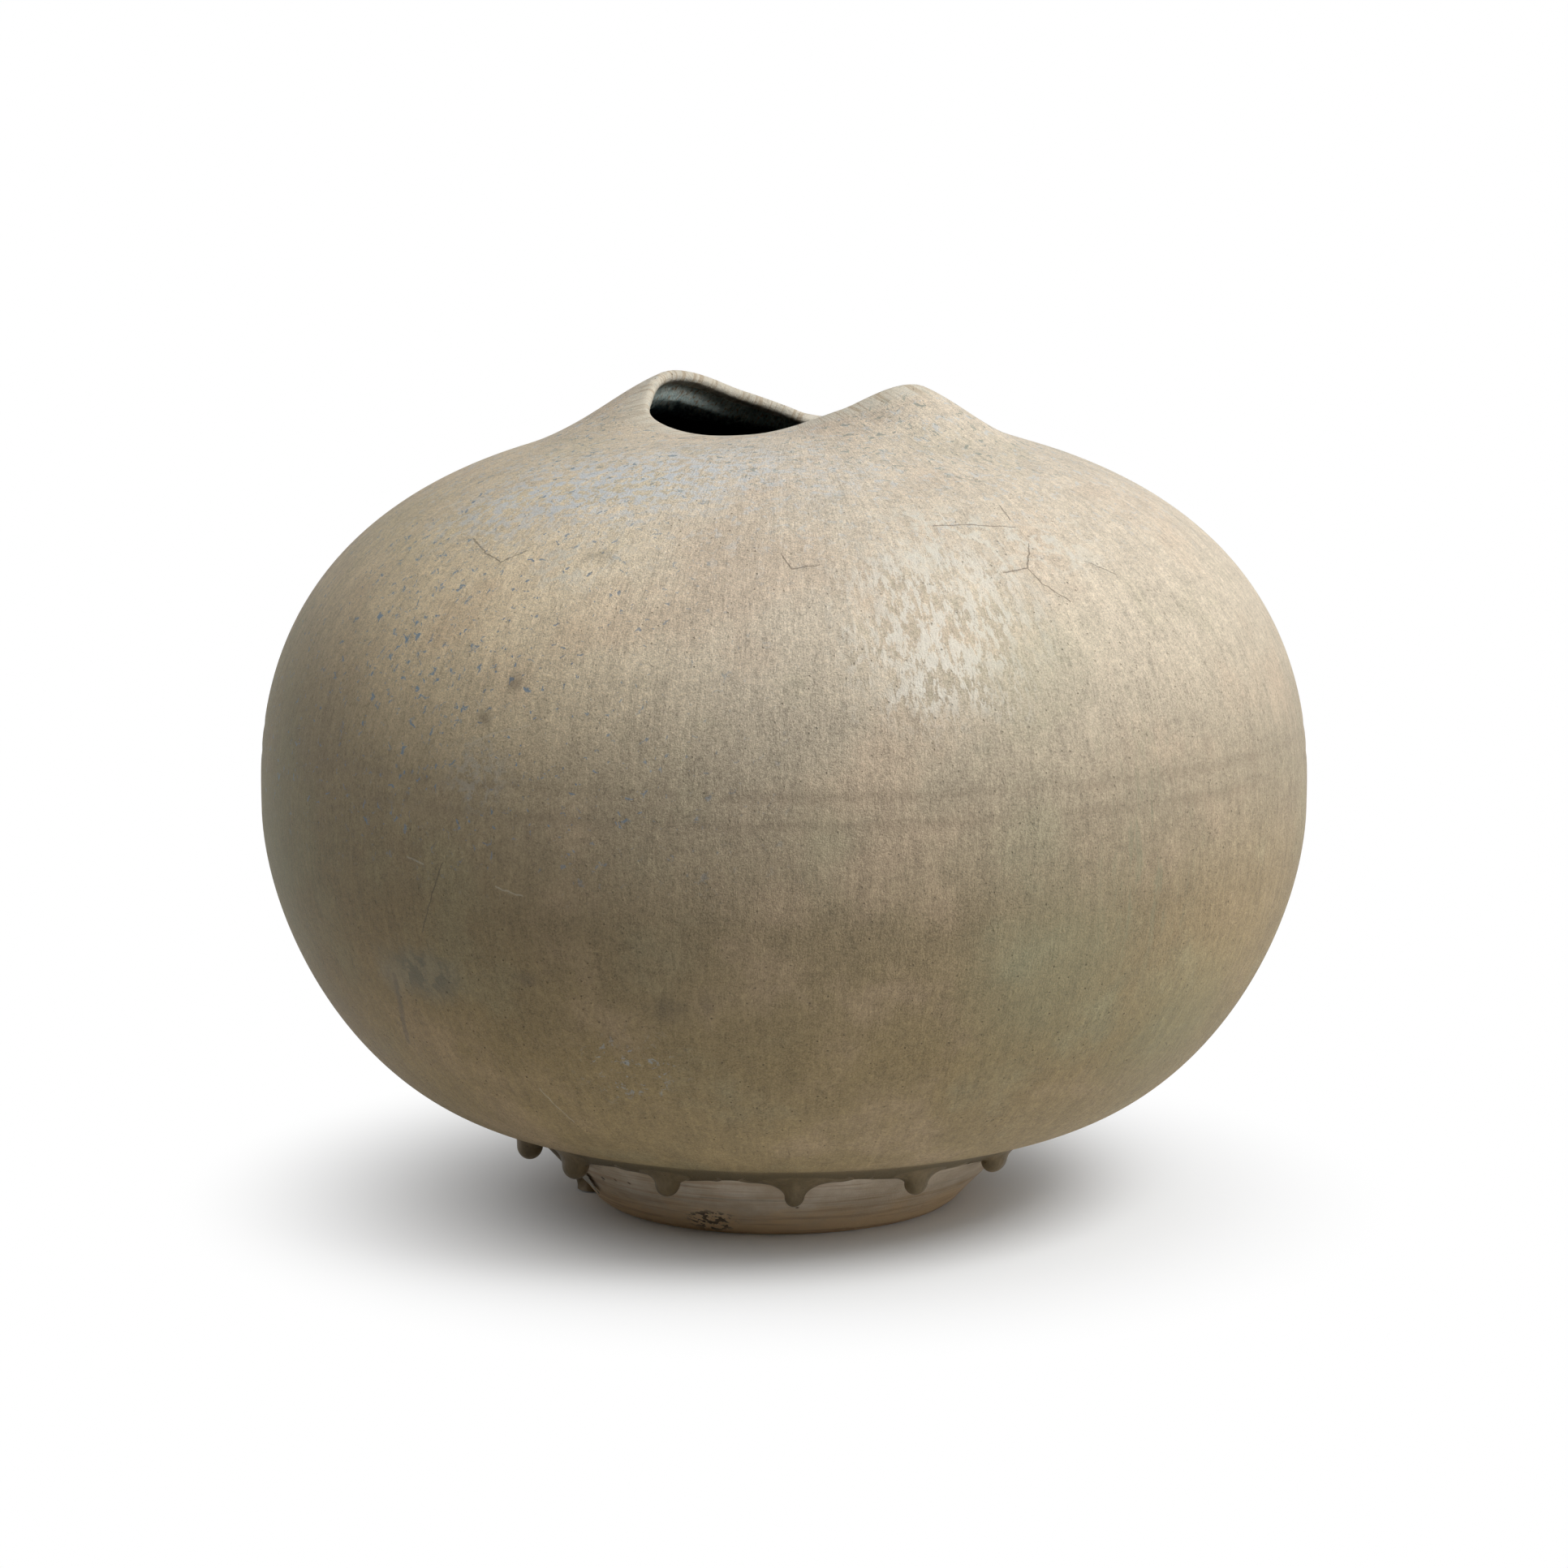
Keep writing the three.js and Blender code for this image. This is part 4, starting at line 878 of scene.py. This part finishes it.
# A scuff, grey-blue flecks low on the left, and a smear. Points of lines are in millimetres
scuff = patch((-0.128, -0.142, 0.115), (0.02, 0.03, 0.011), mottle, 0.6)
lay(scuff, 0.35, SCUFF_GREY)
lay(both_of(scuff, eased(tree, mottle, 0.48, 0.56)), 0.6, SCUFF_DARK)
pale = patch((-0.054, -0.17, 0.088), (0.02, 0.02, 0.02), cloud, 0.6)
lay(both_of(pale, eased(tree, smoky, 0.57, 0.62)), 0.6, GREY_FLECK)
wander = shade(tree, "TexNoise", {"Vector": where, "Scale": 260, "Detail": 2}).outputs["Color"]
shift = vector_sum(tree, "SUBTRACT", wander, (0.5, 0.5, 0.5))
shaken = vector_sum(tree, "MULTIPLY_ADD", shift, (LINE_SHAKE,) * 3, where)
lay(near_line([(-138.9, -131, 112.5), (-137.1, -124.3, 99.2), (-135.9, -112.8, 84.1)],
              SMEAR_WIDTH), 0.5, SMEAR)
# Hair cracks through the glaze, and pale scratches
cracked = 0
for points in [[(-111.4, -101.6, 265.2), (-105.7, -114.2, 261.3), (-100, -122.3, 258.9),
                (-90.7, -123.9, 263.2)],
               [(-1.1, -151, 265.2), (2.5, -156.6, 260.4), (12.4, -154.9, 261.4)],
               [(86.4, -123.1, 265.4), (85.2, -134.4, 258), (90.2, -137.8, 252.6),
                (100.2, -138, 246.6)],
               [(85.2, -134.4, 258), (76.4, -140.5, 256.9)],
               [(106.4, -117.2, 258.7), (117.6, -114.1, 253.1)],
               [(52.6, -128.7, 272.3), (81.8, -116.1, 270.4)],
               [(76.8, -105.3, 277.5), (80, -112.8, 272.7)],
               [(-118.7, -160.3, 158.1), (-122.6, -156.2, 146.6), (-127.2, -150.2, 131.6)]]:
    cracked = reckon(tree, "MAXIMUM", cracked, near_line(points, CRACK_WIDTH))
lay(cracked, 0.6, CRACK)
for points in [[(-108.8, -161.5, 199.8), (-100, -165.5, 204.1), (-87, -171.4, 207.8)],
               [(-132, -150, 158.5), (-126.3, -154.7, 156.5)],
               [(-99.3, -172.5, 151.7), (-90, -177.4, 149.7)],
               [(-86.8, -146.3, 74.4), (-74.8, -138.9, 60.8)]]:
    lay(near_line(points, SCRATCH_WIDTH), 0.4, SCRATCH)
# Pinholes in the lower half, a faint line of painted shade at both edges of the belly coil, the
# dark edge over the foot
low = eased(tree, high, 0.17, 0.08)
pin = shade(tree, "TexVoronoi", {"Vector": where, "Scale": 330, "Randomness": 1})
chosen = shade(tree, "SeparateColor", {0: pin.outputs["Color"]}).outputs[0]
hole = both_of(eased(tree, pin.outputs["Distance"], 0.14, 0.07), eased(tree, chosen, 0.55, 0.6))
lay(both_of(hole, low), 0.7, PINHOLE)
for joint in JOINT_HEIGHTS:
    off = reckon(tree, "ABSOLUTE", reckon(tree, "SUBTRACT", high, joint * MM))
    lay(both_of(eased(tree, off, 0.004, 0), eased(tree, cloud, 0.35, 0.6)), 0.22, JOINT_SHADE)
lay(eased(tree, reckon(tree, "ADD", high, reckon(tree, "MULTIPLY", mottle, 0.004)), 0.041, 0.034),
    0.95, EDGE_BROWN)
# The lip, where the glaze thins over the edge: cream and milky, with brown streaks across it
lipped = eased(tree, from_lip, 0.011, 0.003)
lay(lipped, 0.7, LIP_CREAM)
lay(both_of(lipped, eased(tree, along_flow(7, 30), 0.5, 0.6)), 0.6, LIP_BROWN)
tree.links.new(colour, gloss.inputs["Base Color"])
relief = reckon(tree, "MULTIPLY", sand, 0.35)
for noise, strength in [(torn, 0.5), (speckle, 0.6), (fine_streak, 0.3)]:
    relief = reckon(tree, "MULTIPLY_ADD", noise, strength, relief)
relief = reckon(tree, "SUBTRACT", relief, hole)
rough_up(tree, gloss, relief, COAT_RELIEF)
from_lip = np.linalg.norm(coat_points - lip_point(coat_turn), axis=-1) * MM
closed_skin("matt_coat", coat_points, coat, ["outer_glaze"], flow=flow,
            lip=from_lip)

# Runs of glaze
# Glaze that ran down the bowl and hung in beads from the rolled edge, frozen as it cooled. It is
# the coat's own glaze, thick and half glossy. They hang free of the foot, and the longest reached
# the kiln shelf, where its pool was ground off.

RUN_SIDES = 64
TIP_ROWS = 12
SHAFT_ROWS = 26
TIP_LENGTH_SHARE = 1.1
POOL_HALF = 7.5
POOL_HEIGHT = 6
# The root spreads sideways by a share, and further up the bowl than in towards the foot
ROOT_SPREAD = 1.3
ROOT_REACH_UP = 5
ROOT_REACH_IN = 2
ROOT_SINK = 1
SHAFT_PULL = 0.55
ROOT_PULL = 0.42


def under_line(radius):
    """Height and slope of the rolled edge and the underside of the bowl at a radius."""
    rows = edge_rows[0, len(EDGE_LIP):]
    beyond = lower_line(np.linspace(first_rise, 0.7, 60)[1:])
    line = np.concatenate([rows, beyond])
    height = np.interp(radius, line[:, 0], line[:, 1])
    slope = (np.interp(radius + 0.5, line[:, 0], line[:, 1])
             - np.interp(radius - 0.5, line[:, 0], line[:, 1]))
    return height, np.clip(slope, 0, 1.2)


def glaze_bead(bearing, width, root_width, tip_reach, root_reach, tip_height, pooled):
    """Surface of one run, in radius, sideways and height. Up each line round the bead goes a
    quarter ellipse from the tip, or a pool with a flat base, then a Bézier curve that leaves
    along the bead and settles on the underside of the bowl, at the edge of the root."""
    ring = np.linspace(0, -ROUND, RUN_SIDES, endpoint=False)[:, None]
    side, out = np.cos(ring), np.sin(ring)
    heart_reach = root_reach + ROOT_SINK
    slant = (heart_reach - tip_reach) / (BOWL_HEIGHT + ROOT_SINK - tip_height)
    half = width / 2
    root_side = side * root_width / 2 * ROOT_SPREAD
    spread = out * np.where(out > 0, half + ROOT_REACH_UP, half + ROOT_REACH_IN)
    root_height, slope = under_line(np.hypot(heart_reach + spread, root_side))
    landing = np.concatenate([root_side, heart_reach + spread, root_height + 0.1], -1)
    if pooled:
        share = np.linspace(0, 1, TIP_ROWS)
        height = np.append(0, share * POOL_HEIGHT)
        grown = np.append(0, 1 + (POOL_HALF / half - 1) * (1 - share) ** 2)
    else:
        angle = np.linspace(0, np.pi / 2, TIP_ROWS)
        height, grown = half * TIP_LENGTH_SHARE * (1 - np.cos(angle)), np.sin(angle)
    tip = np.stack(np.broadcast_arrays(side * half * grown,
                                       tip_reach + slant * height + out * half * grown,
                                       tip_height + height), -1)
    widest = tip[:, -1]
    climb = (landing[:, 2] - widest[:, 2]) * SHAFT_PULL
    upward = widest + np.stack([side[:, 0] * half * 0.3, slant * climb, climb], -1)
    inward = -np.concatenate([root_side, spread], -1) * ROOT_PULL
    settle = landing + np.append(inward, slope * inward[:, 1:], axis=1)
    shaft = bezier([widest[:, None], upward[:, None], settle[:, None], landing[:, None]],
                   np.linspace(0, 1, SHAFT_ROWS)[1:])
    heart = np.array([0, root_reach, float(root_height.max()) + 2])
    inside = np.stack([heart + (landing - heart) * share for share in (0.6, 0)], axis=1)
    local = np.concatenate([tip, shaft, inside], axis=1)
    angle = np.radians(bearing - 90)
    lean = FOOT_LEAN * np.clip(1 - local[..., 2] / FOOT_RING_HEIGHT, 0, None)
    return np.stack([local[..., 1] * np.cos(angle) - local[..., 0] * np.sin(angle) - lean,
                     local[..., 1] * np.sin(angle) + local[..., 0] * np.cos(angle),
                     local[..., 2]], -1)


run_paint, tree, gloss, where = new_paint("run_glaze", 0.42, 0.3)
mottle = grain(tree, where, 150, 5, 0.65, (1, 1, 0.5))
colour = tinted(tree, eased(tree, mottle, 0.35, 0.7), (0.15, 0.11, 0.055, 1),
                (0.25, 0.185, 0.1, 1))
pits = eased(tree, grain(tree, where, 900, 2, 0.5), 0.68, 0.74)
colour = tinted(tree, reckon(tree, "MULTIPLY", pits, 0.7), colour, (0.06, 0.035, 0.018, 1))
tree.links.new(colour, gloss.inputs["Base Color"])
rough_up(tree, gloss, grain(tree, where, 500, 3, 0.6), 0.0003)
for name, *sizes in RUNS:
    bead = glaze_bead(*sizes, pooled=name == "long")
    closed_skin("run_" + name, bead, run_paint, ["glaze_run_" + name])

# Label
# A small blank paper label, glued to the left flank of the foot, yellowed, with its front edge
# curled off the clay.

LABEL_WIDTH = 13
LABEL_LENGTH = 13.5
LABEL_THICKNESS = 0.3
LABEL_BEARING = np.radians(-63.8 - 90)
LABEL_SHARE = 0.43
LABEL_TILT = np.radians(22)
LABEL_CURL = 0.8
paper, tree, gloss, where = new_paint("label_paper", 0.8)
colour = tinted(tree, eased(tree, grain(tree, where, 220, 5, 0.6), 0.35, 0.7),
                (0.5, 0.46, 0.37, 1), (0.72, 0.7, 0.64, 1))
tree.links.new(colour, gloss.inputs["Base Color"])
rough_up(tree, gloss, grain(tree, where, 2500, 3, 0.6), 0.0001)
across, up = np.meshgrid(np.linspace(-0.5, 0.5, 40), np.linspace(-0.5, 0.5, 30), indexing="ij")
sideways = across * LABEL_WIDTH * np.cos(LABEL_TILT) + up * LABEL_LENGTH * np.sin(LABEL_TILT)
upward = up * LABEL_LENGTH * np.cos(LABEL_TILT) - across * LABEL_WIDTH * np.sin(LABEL_TILT)
flank_length = np.linalg.norm(np.diff(flank_line(EVEN_SHARES), axis=0), axis=1).sum()
share = LABEL_SHARE + upward / flank_length
lift = CLEARANCE + LABEL_CURL * (across + 0.5) ** 3


def label_face(height):
    """Sheet at a height over its back: it follows the flank, lifted off along its front edge."""
    line = off_flank(share, lift + height)
    return around(LABEL_BEARING + sideways / FOOT_WAIST_RADIUS, line[..., 0], line[..., 1])


sheet = np.concatenate([label_face(LABEL_THICKNESS), label_face(0)[:, ::-1]], axis=1)
# Both ends are closed by a column that is drawn together in one point
ends = sheet[[0, -1]].mean(axis=1, keepdims=True) + np.zeros_like(sheet[[0, -1]])
sheet = np.concatenate([ends[:1], sheet, ends[1:]], axis=0)
closed_skin("blank_label", sheet, paper, ["paper_label"])
